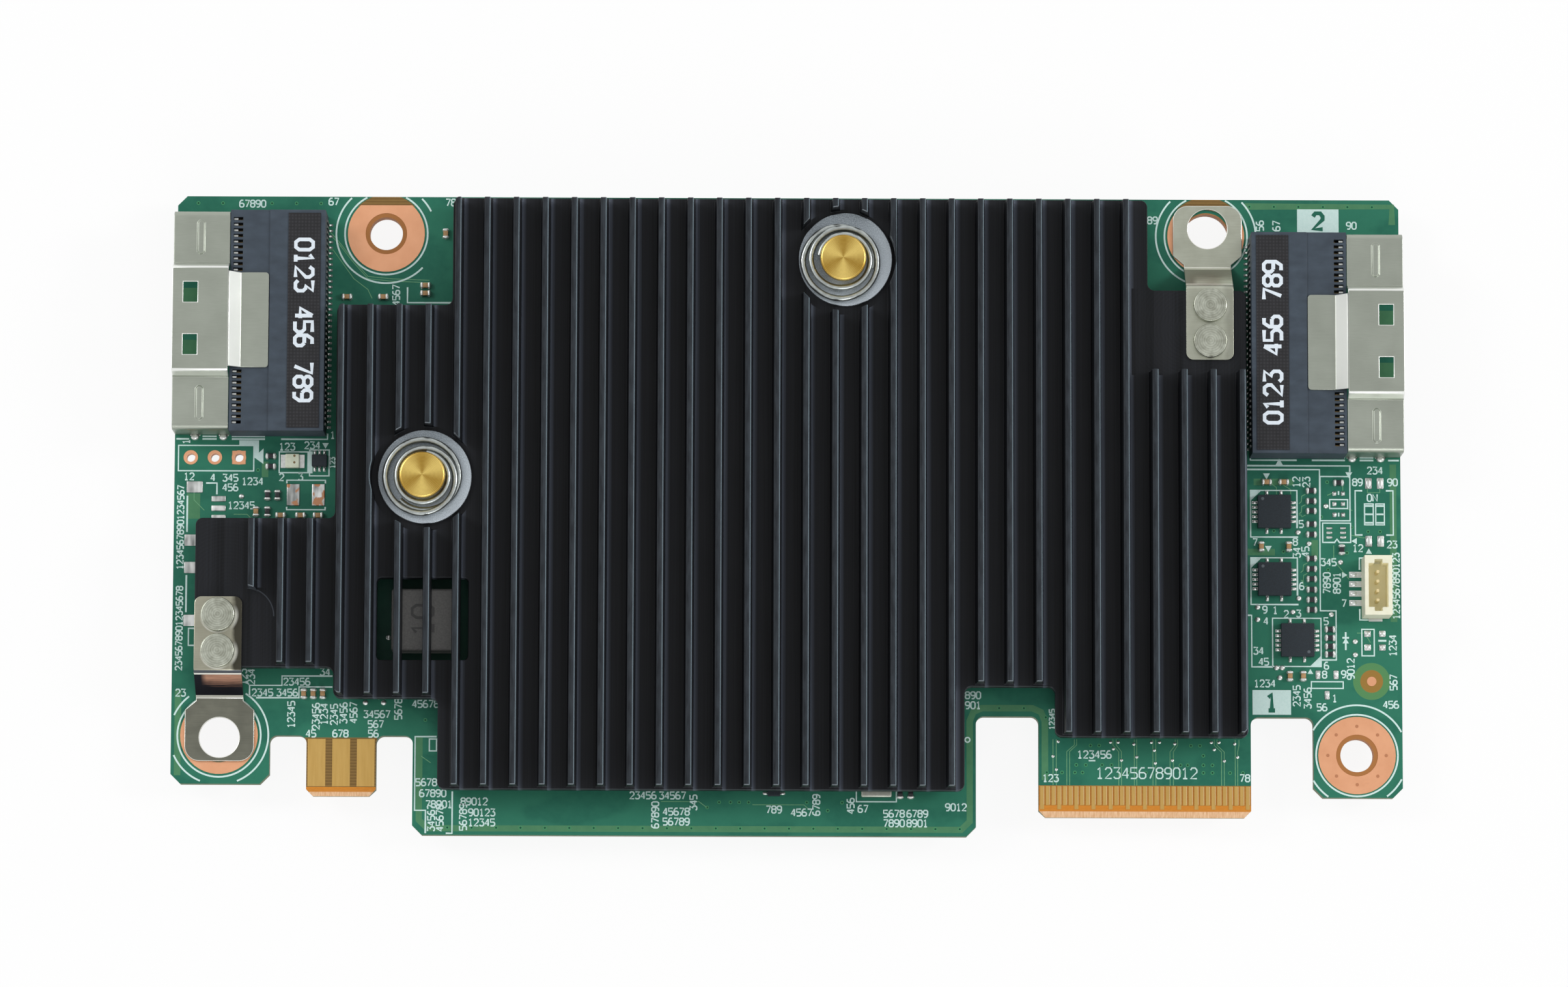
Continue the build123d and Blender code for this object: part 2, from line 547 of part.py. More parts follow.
# Push pins: a brass pin with a barbed end, a tapered spring under its head and a washer on the heatsink
for side, spot, slip in [("left", LEFT_PIN, LEFT_WASHER_SLIP), ("right", RIGHT_PIN, RIGHT_WASHER_SLIP)]:
    axis = Plane(origin=(spot[0], spot[1], 0), x_dir=(1, 0, 0), z_dir=(0, -1, 0))
    with BuildPart() as pin:
        with BuildSketch(axis):
            with BuildLine():
                Polyline(
                    (0, HEAD_Z + PIN_HEAD_T), (PIN_HEAD_R, HEAD_Z + PIN_HEAD_T), (PIN_HEAD_R, HEAD_Z),
                    (PIN_SHANK_R, HEAD_Z), (PIN_SHANK_R, -BARB_PLAY), (BARB_R, -BARB_PLAY),
                    (BARB_TIP_R, -BARB_PLAY - BARB_LENGTH), (0, -BARB_PLAY - BARB_LENGTH), close=True,
                )
            make_face()
        revolve(axis=Axis((spot[0], spot[1], 0), (0, 0, 1)))
        chamfer(pin.edges().filter_by(GeomType.CIRCLE).group_by(Axis.Z)[-1], length=0.15)
        with BuildSketch(Plane(origin=(spot[0], spot[1], -BARB_PLAY - BARB_LENGTH))):
            Rectangle(BARB_SLOT, 2 * BARB_R)
        extrude(amount=BARB_LENGTH + BOARD_T, mode=Mode.SUBTRACT)
    write(pin.part, f"{side}_push_pin")

    with BuildPart() as washer:
        with BuildSketch(Plane(origin=(spot[0] + slip[0], spot[1] + slip[1], BASE_TOP))):
            Circle(WASHER_R)
            Circle(PIN_SHANK_R + WASHER_CLEARANCE, mode=Mode.SUBTRACT)
        extrude(amount=WASHER_T)
    write(washer.part, f"{side}_pin_washer")

    wire_height = SPRING_H - 2 * SPRING_WIRE_R - 2 * SPRING_SEAT
    wire_start = WASHER_TOP + SPRING_SEAT + SPRING_WIRE_R
    coil_points = []
    for k in range(round(SPRING_TURNS * SPRING_STEPS) + 1):
        share = k / (SPRING_TURNS * SPRING_STEPS)
        reach = SPRING_FOOT_R + share * (SPRING_TOP_R - SPRING_FOOT_R)
        arm = Vector(reach, 0, 0).rotate(Axis.Z, k * 360 / SPRING_STEPS)
        coil_points.append(arm + Vector(spot[0], spot[1], wire_start + share * wire_height))
    with BuildPart() as spring:
        with BuildLine() as coil:
            Polyline(*coil_points)
        with BuildSketch(Plane(origin=coil.line @ 0, z_dir=coil.line % 0)):
            RegularPolygon(SPRING_WIRE_R, 6)
        sweep(path=coil.line, transition=Transition.RIGHT)
    write(spring.part, f"{side}_pin_spring")

# Grounding lugs: stamped strip with a ring end on the copper pad and a double bend up to the heatsink
for corner, place in LUGS.items():
    second_bend = LUG_FIRST_BEND + LUG_RUN
    far_end = second_bend + LUG_STRIP_LENGTH
    plate_half = LUG_PLATE_W / 2
    strip_half = LUG_STRIP_W / 2
    plate_corners = [(-LUG_PLATE_END, -plate_half), (-LUG_PLATE_END, plate_half)]
    strip_corners = [(far_end, strip_half), (far_end, -strip_half)]
    with BuildPart() as lug:
        with BuildSketch(side_of(place)):
            with BuildLine():
                FilletPolyline(
                    (-LUG_PLATE_END, LUG_T / 2), (LUG_FIRST_BEND, LUG_T / 2),
                    (second_bend, LUG_RISE + LUG_T / 2), (far_end, LUG_RISE + LUG_T / 2), radius=LUG_BEND_R,
                )
            trace(line_width=LUG_T)
        extrude(amount=plate_half, both=True)
        with BuildSketch(place) as blank:
            with BuildLine():
                Polyline(
                    plate_corners[0], (LUG_SHOULDER, -plate_half), (LUG_NECK, -strip_half), strip_corners[1],
                    strip_corners[0], (LUG_NECK, strip_half), (LUG_SHOULDER, plate_half), plate_corners[1],
                    close=True,
                )
            make_face()
            fillet(corners_at(blank, plate_corners), LUG_PLATE_CORNER_R)
            fillet(corners_at(blank, strip_corners), LUG_STRIP_CORNER_R)
            Circle(LUG_BORE_R, mode=Mode.SUBTRACT)
            with Locations(*RIVET_SPOTS):
                Circle(RIVET_SHANK_R + RIVET_FIT, mode=Mode.SUBTRACT)
        extrude(amount=LUG_RISE + LUG_T, mode=Mode.INTERSECT)
    write(lug.part, f"{corner}_grounding_lug")

    with BuildPart() as rivets:
        with BuildSketch(place.offset(LUG_RISE + LUG_T)):
            with Locations(*RIVET_SPOTS):
                Circle(RIVET_HEAD_R)
        extrude(amount=RIVET_HEAD_H)
        with BuildSketch(place.offset(LUG_RISE + LUG_T)):
            with Locations(*RIVET_SPOTS):
                Circle(RIVET_SHANK_R)
        extrude(amount=-LUG_T - BASE_T)
    write(rivets.part, f"{corner}_lug_rivets")

# Cable receptacles: a folded steel shell round the mouth, a moulded housing with two rows of contacts
housing_front = SHELL_DEPTH + SHELL_PLAY
housing_back = housing_front + HOUSING_DEPTH
slot_back = housing_front + SLOT_DEPTH
slot_roof = SLOT_FLOOR + SLOT_H
contact_rows = [(k - (CONTACTS_PER_ROW - 1) / 2) * CONTACT_PITCH for k in range(CONTACTS_PER_ROW)]
window_rows = contact_rows[:WINDOWS_PER_SIDE] + contact_rows[-WINDOWS_PER_SIDE:]
slot_half = CONTACT_SPAN / 2 + CONTACT_W
housing_half = slot_half + SLOT_SIDE_WALL

for side, place in RECEPTACLES.items():
    across = Plane(origin=place.origin, x_dir=place.y_dir, z_dir=place.x_dir)
    profile_plane = side_of(place)

    with BuildPart() as shell:
        wall_half = (SHELL_W - SHELL_T) / 2
        crown_half = CROWN_W / 2
        sheet = SHELL_T / 2
        with BuildSketch(across):
            with BuildLine():
                FilletPolyline(
                    (-wall_half, 0), (-wall_half, WING_H - sheet),
                    (-crown_half - CROWN_SLOPE, WING_H - sheet), (-crown_half, CROWN_H - sheet),
                    (crown_half, CROWN_H - sheet), (crown_half + CROWN_SLOPE, WING_H - sheet),
                    (wall_half, WING_H - sheet), (wall_half, 0),
                    radius=[SHELL_SIDE_R] + [SHELL_T] * 4 + [SHELL_SIDE_R],
                )
            trace(line_width=SHELL_T)
        extrude(amount=SHELL_DEPTH)
        with BuildSketch(profile_plane):
            tab_z = HOUSING_H - HOUSING_STEP_H + sheet
            with BuildLine():
                FilletPolyline(
                    (SHELL_DEPTH - SHELL_T, CROWN_H - sheet), (SHELL_DEPTH, CROWN_H - sheet),
                    (SHELL_DEPTH + TAB_RAMP, tab_z), (SHELL_DEPTH + TAB_LENGTH, tab_z), radius=SHELL_T / 2,
                )
            trace(line_width=SHELL_T)
        extrude(amount=TAB_W / 2, both=True)
        tab_end = shell.edges().filter_by(Axis.Z).group_by(lambda e: place.to_local_coords(e.center()).X)[-1]
        fillet(tab_end, TAB_CORNER_R)
        with BuildSketch(place.offset(CROWN_H)):
            with Locations((LATCH_WINDOW[0], LATCH_WINDOW_V), (LATCH_WINDOW[0], -LATCH_WINDOW_V)):
                Rectangle(LATCH_WINDOW[1], LATCH_WINDOW_W, align=(Align.MIN, Align.CENTER))
        extrude(amount=-SHELL_T, mode=Mode.SUBTRACT)
        with BuildSketch(place.offset(WING_H)) as beads:
            with Locations((BEAD_DEPTH, BEAD_V), (BEAD_DEPTH, -BEAD_V)):
                Rectangle(BEAD_W, BEAD_LENGTH)
            chamfer(beads.vertices(), BEAD_W / 3)
        extrude(amount=BEAD_H, taper=30)
        with BuildSketch(place):
            with Locations(*LEG_SPOTS):
                Rectangle(SHELL_LEG_W, SHELL_T)
        extrude(amount=-BOARD_T - SHELL_TAIL)
    write(shell.part, f"{side}_receptacle_shell")

    with BuildPart() as housing:
        with BuildSketch(profile_plane):
            Polygon(
                (housing_front, 0), (housing_back, 0), (housing_back, SLOT_FLOOR),
                (housing_front, SLOT_FLOOR),
                align=None,
            )
            Polygon(
                (slot_back, SLOT_FLOOR + CONTACT_T), (housing_back, SLOT_FLOOR + CONTACT_T),
                (housing_back, slot_roof - CONTACT_T), (slot_back, slot_roof - CONTACT_T), align=None,
            )
            Polygon(
                (housing_front, slot_roof), (housing_back, slot_roof), (housing_back, HOUSING_H),
                (housing_front, HOUSING_H), align=None,
            )
        extrude(amount=slot_half, both=True)
        with BuildSketch(place):
            with Locations((housing_front, slot_half), (housing_front, -housing_half)):
                Rectangle(HOUSING_DEPTH, SLOT_SIDE_WALL, align=(Align.MIN, Align.MIN))
        extrude(amount=HOUSING_H)
        with BuildSketch(place.offset(HOUSING_H)):
            with Locations((housing_front, 0)):
                Rectangle(HOUSING_STEP_DEPTH, 2 * housing_half, align=(Align.MIN, Align.CENTER))
        extrude(amount=-HOUSING_STEP_H, mode=Mode.SUBTRACT)
        with BuildSketch(place.offset(HOUSING_H)):
            with Locations(*[(housing_front + CONTACT_WINDOW_GAP, v) for v in window_rows]):
                Rectangle(CONTACT_WINDOW_L, CONTACT_WINDOW_W, align=(Align.MIN, Align.CENTER))
        extrude(amount=slot_roof - HOUSING_H, mode=Mode.SUBTRACT)
    write(housing.part, f"{side}_receptacle_housing")

    start = housing_front + CONTACT_START
    with BuildPart() as upper_contacts:
        with BuildSketch(*[profile_plane.offset(v - CONTACT_W / 2) for v in contact_rows]):
            Polygon(
                (start, slot_roof), (start, slot_roof - CONTACT_T), (housing_back, slot_roof - CONTACT_T),
                (housing_back, 0), (housing_back + CONTACT_FOOT, 0), (housing_back + CONTACT_FOOT, CONTACT_T),
                (housing_back + CONTACT_T, CONTACT_T), (housing_back + CONTACT_T, slot_roof), align=None,
            )
        extrude(amount=CONTACT_W)
    write(upper_contacts.part, f"{side}_receptacle_upper_contacts")

    with BuildPart() as lower_contacts:
        with BuildSketch(place.offset(SLOT_FLOOR)):
            with Locations(*[(start, v) for v in contact_rows]):
                Rectangle(housing_back - start, CONTACT_W, align=(Align.MIN, Align.CENTER))
        extrude(amount=CONTACT_T)
    write(lower_contacts.part, f"{side}_receptacle_lower_contacts")

    with BuildPart() as label:
        with BuildSketch(place.offset(HOUSING_H)):
            with Locations((LABEL_DEPTH + LABEL_L / 2, 0)):
                Rectangle(LABEL_L, LABEL_W)
        extrude(amount=LABEL_T)
    write(label.part, f"{side}_receptacle_label")

# Debug header: an open-topped moulded shroud round four posts, with bent leads and two holding tabs
with BuildPart() as header:
    with BuildSketch(Plane.XY.offset(BOARD_T)):
        with Locations((HEADER_X, HEADER_Y)):
            Rectangle(HEADER_D, HEADER_L)
    extrude(amount=HEADER_H)
    with BuildSketch(Plane.XY.offset(BOARD_T + HEADER_FLOOR)):
        with Locations((HEADER_X, HEADER_Y)):
            Rectangle(HEADER_D - 2 * HEADER_WALL, HEADER_L - 4 * HEADER_WALL)
            Rectangle(2 * HEADER_WALL, HEADER_L - 2 * HEADER_WALL)
    extrude(amount=HEADER_H, mode=Mode.SUBTRACT)
write(header.part, "debug_header_shroud")

header_ways = [HEADER_Y + (k - (HEADER_WAYS - 1) / 2) * HEADER_PITCH for k in range(HEADER_WAYS)]
with BuildPart() as header_contacts:
    with BuildSketch(Plane.XY.offset(BOARD_T + HEADER_FLOOR)):
        with Locations(*[(HEADER_X, y) for y in header_ways]):
            Rectangle(HEADER_PIN_W, HEADER_PIN_W)
    extrude(amount=HEADER_PIN_H - HEADER_FLOOR)
    with BuildSketch(Plane.XY.offset(BOARD_T)):
        with Locations(*[(HEADER_X - HEADER_D / 2, y) for y in header_ways]):
            Rectangle(HEADER_LEAD, HEADER_PIN_W, align=(Align.MAX, Align.CENTER))
        with Locations(*[(HEADER_X, HEADER_Y + side * (HEADER_L + HEADER_PIN_W) / 2) for side in (-1, 1)]):
            Rectangle(HEADER_D / 2, HEADER_PIN_W)
    extrude(amount=HEADER_PIN_W / 2)
write(header_contacts.part, "debug_header_contacts")


def block_set(name, spots, length, width, height, base=BOARD_T):
    """A set of equal blocks on the board: each spot is x, y and its turn in degrees."""
    with BuildPart() as blocks:
        with BuildSketch(Plane.XY.offset(base)):
            for x, y, turn in spots:
                with Locations(Location((x, y), turn)):
                    Rectangle(length, width)
        extrude(amount=height)
    write(blocks.part, name)


# Driver chips: three square leadless packages with their solder pins
drivers = right_field(DRIVER_SPOTS)
driver_pins = []
for x, y, turn in drivers:
    for side in (-1, 1):
        for k in range(5):
            driver_pins.append((x + side * (DRIVER_W + DRIVER_PIN_L) / 2, y + (k - 2) * DRIVER_PIN_PITCH, 0))
        for k in (-1, 1):
            driver_pins.append((x + k * 1.5 * DRIVER_PIN_PITCH, y + side * (DRIVER_W + DRIVER_PIN_L) / 2, 90))
block_set("driver_chips", drivers, DRIVER_W, DRIVER_W, DRIVER_H)
block_set("driver_chip_pins", driver_pins, DRIVER_PIN_L, DRIVER_PIN_W, LAND_T)


def terminal_spots(parts):
    """The two end caps of each chip part."""
    spots = []
    for x, y, turn in parts:
        along = Vector(1, 0, 0).rotate(Axis.Z, turn) * (CHIP_L - TERMINAL_L) / 2
        spots += [(x + along.X, y + along.Y, turn), (x - along.X, y - along.Y, turn)]
    return spots


# Chip resistors and ceramic capacitors: a small block between two tinned end caps
resistors = right_field(RIGHT_RESISTORS) + left_field(LEFT_RESISTORS) + lower_edge(LOWER_RESISTORS)
capacitors = right_field(RIGHT_CAPACITORS) + left_field(LEFT_CAPACITORS) + LOWER_CAPACITORS
capacitors += [(TOP_LEFT_HOLE[0] + x, TOP_LEFT_HOLE[1] + y, turn) for x, y, turn in HOLE_CAPACITORS]
cap_w = CHIP_W + 2 * TERMINAL_SKIN
block_set("chip_resistors", resistors, CHIP_L - 2 * TERMINAL_L, CHIP_W, CHIP_H)
block_set("ceramic_capacitors", capacitors, CHIP_L - 2 * TERMINAL_L, CHIP_W, CHIP_W)
block_set("resistor_terminals", terminal_spots(resistors), TERMINAL_L, cap_w, CHIP_H + TERMINAL_SKIN)
block_set("capacitor_terminals", terminal_spots(capacitors), TERMINAL_L, cap_w, CHIP_W + TERMINAL_SKIN)

# Indicator and its driver beside the left receptacle, supervisor chip and crystal on the lower edge
for name, spot, pins, pitch, (length, width, height), reach in [
    ("status_led", left_field([LED_SPOT])[0], 1, 0, LED_SIZE, LED_PAD[0]),
    ("led_driver_chip", left_field([LED_DRIVER_SPOT])[0], 3, LED_DRIVER_PITCH, LED_DRIVER_SIZE, SMALL_PIN_L),
    ("supervisor_chip", lower_edge([SUPERVISOR_SPOT])[0], 3, SUPERVISOR_PITCH, SUPERVISOR_SIZE, SMALL_PIN_L),
]:
    block_set(name, [spot], length, width, height)
    turned = spot[2]
    rows = []
    for side in (-1, 1):
        for k in range(pins):
            offset = Vector(side * (length + reach) / 2, (k - (pins - 1) / 2) * pitch, 0)
            offset = offset.rotate(Axis.Z, turned)
            rows.append((spot[0] + offset.X, spot[1] + offset.Y, turned))
    block_set(f"{name}_pins", rows, reach, LED_PAD[1] if pins == 1 else SMALL_PIN_W, LAND_T)
block_set("crystal_can", lower_edge([CRYSTAL_SPOT]), *CRYSTAL_SIZE)

# Tinned lands with nothing fitted: the switch, the second indicator, test pads and the serial port rows
with BuildPart() as lands:
    with BuildSketch(Plane.XY.offset(BOARD_T)):
        for field, sets in [(right_field, RIGHT_LANDS), (left_field, LEFT_LANDS)]:
            for (length, width), spots in sets:
                with Locations(*[(x, y) for x, y, turn in field([(a, b, 0) for a, b in spots])]):
                    Rectangle(length, width)
    extrude(amount=LAND_T)
write(lands.part, "tinned_lands")

# Under the heatsink: the controller with its lid and heat pad, and the power supply round it
controller = (CONTROLLER[0], CONTROLLER[1], 0)
lid_z = BOARD_T + SUBSTRATE_H
heat_pad_w = LID_W - 2 * HEAT_PAD_INSET
block_set("controller_substrate", [controller], CONTROLLER_W, CONTROLLER_W, SUBSTRATE_H)
block_set("controller_lid", [controller], LID_W, LID_W, LID_H, lid_z)
heat_pad_h = SINK_GAP - SUBSTRATE_H - LID_H
block_set("controller_heat_pad", [controller], heat_pad_w, heat_pad_w, heat_pad_h, lid_z + LID_H)
window_middle = (WINDOW[0] + WINDOW[2] / 2, WINDOW[1] + WINDOW[3] / 2, 0)
block_set("window_inductor", [window_middle], INDUCTOR_W, INDUCTOR_W, INDUCTOR_H)
block_set("power_inductors", [(x, COIL_Y, 0) for x in SUPPLY_X], COIL_W, COIL_W, COIL_H)
block_set("regulator_chips", [(x, REGULATOR_Y, 0) for x in SUPPLY_X], *REGULATOR_SIZE)
block_set("flash_memory_chip", [MEMORY_SPOT], *MEMORY_SIZE)

# Rear side: rows of capacitors behind the controller
rear_spots = []
for i in range(REAR_COLUMNS):
    for j in range(REAR_ROWS):
        x = CONTROLLER[0] + REAR_PITCH * (i - (REAR_COLUMNS - 1) / 2)
        y = CONTROLLER[1] + REAR_PITCH * (j - (REAR_ROWS - 1) / 2)
        rear_spots.append((x, y, 90))
block_set("rear_capacitors", rear_spots, CHIP_L, CHIP_W, -REAR_PART_H, 0)
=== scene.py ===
from math import cos, radians, sin

import bmesh
import bpy
from mathutils import Matrix, Vector


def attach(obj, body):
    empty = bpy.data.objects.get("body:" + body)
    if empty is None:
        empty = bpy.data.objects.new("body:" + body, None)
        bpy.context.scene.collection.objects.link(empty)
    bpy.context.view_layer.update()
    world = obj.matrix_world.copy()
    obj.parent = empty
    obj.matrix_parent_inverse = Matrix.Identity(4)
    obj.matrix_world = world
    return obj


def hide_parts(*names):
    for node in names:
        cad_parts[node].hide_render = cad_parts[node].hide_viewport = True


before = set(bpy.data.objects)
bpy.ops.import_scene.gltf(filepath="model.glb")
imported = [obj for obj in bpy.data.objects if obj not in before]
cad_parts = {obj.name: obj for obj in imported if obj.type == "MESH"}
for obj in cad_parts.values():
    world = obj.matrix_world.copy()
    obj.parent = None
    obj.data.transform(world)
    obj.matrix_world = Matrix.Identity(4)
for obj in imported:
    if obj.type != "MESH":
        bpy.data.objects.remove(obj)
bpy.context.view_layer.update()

# The picture. The card lies face up on a plain white table. The camera stands almost straight above
# it with a long lens, and three soft lamps and the pale room light it from above.


def placed(title, data):
    """A new object in the scene."""
    made = bpy.data.objects.new(title, data)
    bpy.context.collection.objects.link(made)
    return made


class Wire:
    """One output of a node. An expression on it adds Math nodes to its tree."""

    def __init__(self, nodes, socket):
        self.nodes = nodes
        self.socket = socket

    def math(self, operation, first, second=0.0):
        return self.nodes.node("ShaderNodeMath", {"operation": operation}, {0: first, 1: second})

    def out(self, title):
        return Wire(self.nodes, self.socket.node.outputs[title])

    def __add__(self, other):
        return self.math("ADD", self, other)

    __radd__ = __add__

    def __sub__(self, other):
        return self.math("SUBTRACT", self, other)

    def __rsub__(self, other):
        return self.math("SUBTRACT", other, self)

    def __mul__(self, other):
        return self.math("MULTIPLY", self, other)

    __rmul__ = __mul__

    def __truediv__(self, other):
        return self.math("DIVIDE", self, other)

    def __mod__(self, other):
        return self.math("FLOORED_MODULO", self, other)

    def __pow__(self, other):
        return self.math("POWER", self, other)

    def __gt__(self, other):
        return self.math("GREATER_THAN", self, other)

    def __lt__(self, other):
        return self.math("LESS_THAN", self, other)

    def __or__(self, other):
        return self.math("MAXIMUM", self, other)

    def __and__(self, other):
        return self.math("MINIMUM", self, other)

    def __abs__(self):
        return self.math("ABSOLUTE", self)

    def ripple(self, pitch):
        """A wave from 0 to 1, of so many radians to a millimetre."""
        return self.math("SINE", self * pitch) * 0.5 + 0.5

    def ramp(self, low, high):
        return ((self - low) / (high - low) | 0.0) & 1.0


class Nodes:
    """A node tree. Every node comes from node(): its type, its settings, then its sockets."""

    def __init__(self, tree):
        self.tree = tree

    def node(self, kind, settings, sockets, output=0):
        made = self.tree.nodes.new(kind)
        for title, value in settings.items():
            setattr(made, title, value)
        for title, value in sockets.items():
            self.feed(made.inputs[title], value)
        return Wire(self, made.outputs[output])

    def feed(self, socket, value):
        if isinstance(value, Wire):
            self.tree.links.new(value.socket, socket)
        else:
            socket.default_value = value


def seen_directly(nodes):
    """1 for rays from the camera, a reflection or through glass, which see plain white."""
    path = nodes.node("ShaderNodeLightPath", {}, {}, "Is Camera Ray")
    return path | path.out("Is Glossy Ray") | path.out("Is Transmission Ray")


bpy.context.scene.view_settings.view_transform = "Standard"
studio = bpy.data.worlds.new("studio")
studio.use_nodes = True
bpy.context.scene.world = studio
room = Nodes(studio.node_tree)
backdrop = room.tree.nodes["Background"]
backdrop.inputs["Color"].default_value = (1, 1, 1, 1)
sky = room.node("ShaderNodeTexCoord", {}, {}, "Generated")
overhead = room.node("ShaderNodeSeparateXYZ", {}, {0: sky}, "Z")
ray = room.node("ShaderNodeLightPath", {}, {}, "Is Camera Ray")
mirrored = ray.out("Is Glossy Ray") * (1.0 - 0.32 * overhead.ramp(0.5, 0.95))
room.feed(backdrop.inputs["Strength"], ray | ray.out("Is Transmission Ray") | mirrored | 0.62)

white_table = bpy.data.materials.new("white_table")
white_table.use_nodes = True
table_nodes = Nodes(white_table.node_tree)
table_nodes.tree.nodes["Principled BSDF"].inputs["Base Color"].default_value = (0.9, 0.9, 0.9, 1)
table_nodes.tree.nodes["Principled BSDF"].inputs["Roughness"].default_value = 0.8
glow = table_nodes.node("ShaderNodeEmission", {}, {"Color": (1, 1, 1, 1), "Strength": 1.0}, "Emission")
matt = Wire(table_nodes, table_nodes.tree.nodes["Principled BSDF"].outputs[0])
blend = table_nodes.node("ShaderNodeMixShader", {}, {0: seen_directly(table_nodes) * 0.9, 1: matt, 2: glow})
table_nodes.feed(table_nodes.tree.nodes["Material Output"].inputs["Surface"], blend)

TABLE_Z = -0.00262
TABLE_HALF = 4.0
table_mesh = bpy.data.meshes.new("table")
corners = [(x * TABLE_HALF, y * TABLE_HALF) for x, y in ((-1, -1), (1, -1), (1, 1), (-1, 1))]
table_mesh.from_pydata([(x, y, TABLE_Z) for x, y in corners], [], [(0, 1, 2, 3)])
table_mesh.materials.append(white_table)
placed("table", table_mesh)

CARD_MIDDLE = Vector((0.0597, 0.0258, 0.0))
for lamp_name, place, size, power in [
    ("lamp_left", (-0.62, 0.30, 0.62), 0.30, 2.1),
    ("lamp_right", (0.70, 0.12, 0.50), 0.22, 2.3),
    ("lamp_front", (0.10, -0.75, 0.55), 0.30, 1.2),
]:
    lamp_data = bpy.data.lights.new(lamp_name, "AREA")
    lamp_data.shape = "SQUARE"
    lamp_data.size = size
    lamp_data.energy = power
    lamp = placed(lamp_name, lamp_data)
    lamp.location = CARD_MIDDLE + Vector(place)
    lamp.rotation_euler = (-Vector(place)).to_track_quat("-Z", "Y").to_euler()

camera_data = bpy.data.cameras.new("camera")
camera_data.lens = 158.51
camera_data.sensor_width = 36.0
camera = placed("camera", camera_data)
camera.location = (0.0562, -0.0632, 0.7246)
aim = Matrix.Rotation(0.122435, 3, "X") @ Matrix.Rotation(-0.00420921, 3, "Y")
camera.rotation_euler = (aim @ Matrix.Rotation(0.00342002, 3, "Z")).to_euler()
bpy.context.scene.camera = camera

# The circuit board: glass fibre laminate, routed to outline and coated with green solder mask. Copper
# pours and pairs of fine lines show through the mask. Round the holes and on the tongue it is bare.


def shade(red, green, blue):
    """The shader's colour for one read off a screen, 0 to 255."""
    parts = [value / 255 for value in (red, green, blue)]
    parts = [value / 12.92 if value < 0.04 else ((value + 0.055) / 1.055) ** 2.4 for value in parts]
    return (*parts, 1.0)


class Finish(Nodes):
    """A material. Tones are red, green and blue as read off a screen, and wires carry what changes over
    the surface, in millimetres of the card's frame."""

    def __init__(self, title):
        self.material = bpy.data.materials.new(title)
        self.material.use_nodes = True
        super().__init__(self.material.node_tree)
        self.shader = self.tree.nodes["Principled BSDF"]
        spot = self.node("ShaderNodeTexCoord", {}, {}, "Object")
        self.spot = self.node("ShaderNodeVectorMath", {"operation": "SCALE"}, {0: spot, "Scale": 1000.0})
        self.x, self.y, self.z = self.split(self.spot)

    def split(self, vector):
        parts = self.node("ShaderNodeSeparateXYZ", {}, {0: vector}, "X")
        return parts, parts.out("Y"), parts.out("Z")

    def coat(self, **sockets):
        for title, value in sockets.items():
            value = shade(*value) if isinstance(value, tuple) else value
            self.feed(self.shader.inputs[title.replace("_", " ")], value)
        return self

    def mix(self, amount, first, second):
        first, second = [shade(*tone) if isinstance(tone, tuple) else tone for tone in (first, second)]
        return self.node("ShaderNodeMix", {"data_type": "RGBA"}, {0: amount, 6: first, 7: second}, 2)

    def layers(self, tone, *coats):
        """A base tone under coats, each a pair of where it lies and its own tone."""
        for where, over in coats:
            tone = self.mix(where, tone, over)
        return tone

    def grain(self, stretch, detail=2.0):
        """Noise, with one stretch for all axes or one for each."""
        stretch = stretch if isinstance(stretch, tuple) else (stretch,) * 3
        spot = self.node("ShaderNodeVectorMath", {"operation": "MULTIPLY"}, {0: self.spot, 1: stretch})
        return self.node("ShaderNodeTexNoise", {}, {"Vector": spot, "Scale": 1.0, "Detail": detail})

    def bump(self, height, strength, distance=0.00002):
        return self.node("ShaderNodeBump", {}, {"Height": height, "Strength": strength, "Distance": distance})

    def facing(self):
        """The three parts of a face's normal."""
        return self.split(self.node("ShaderNodeNewGeometry", {}, {}, "True Normal"))

    def around(self, x, y):
        """Distance from the upright axis through x, y."""
        return ((self.x - x) ** 2.0 + (self.y - y) ** 2.0) ** 0.5

    def bearing(self, x, y):
        """Distance from the upright axis through x, y, and the way out from it along X and Y."""
        reach = self.around(x, y)
        return reach, (self.x - x) / (reach + 0.01), (self.y - y) / (reach + 0.01)

    def within(self, left, right, bottom, top):
        return (self.x > left) * (self.x < right) * (self.y > bottom) * (self.y < top)


def grained(title, stretch, detail, dark, light, **sockets):
    """A finish whose colour drifts between two tones in a grain."""
    finish = Finish(title)
    tone = finish.mix(finish.grain(stretch, detail), dark, light)
    return finish.coat(Base_Color=tone, **sockets)


def coat_node(node, finish):
    """Gives a CAD solid that stays as it is its finish."""
    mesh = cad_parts[node].data
    mesh.materials.clear()
    mesh.materials.append(finish.material)


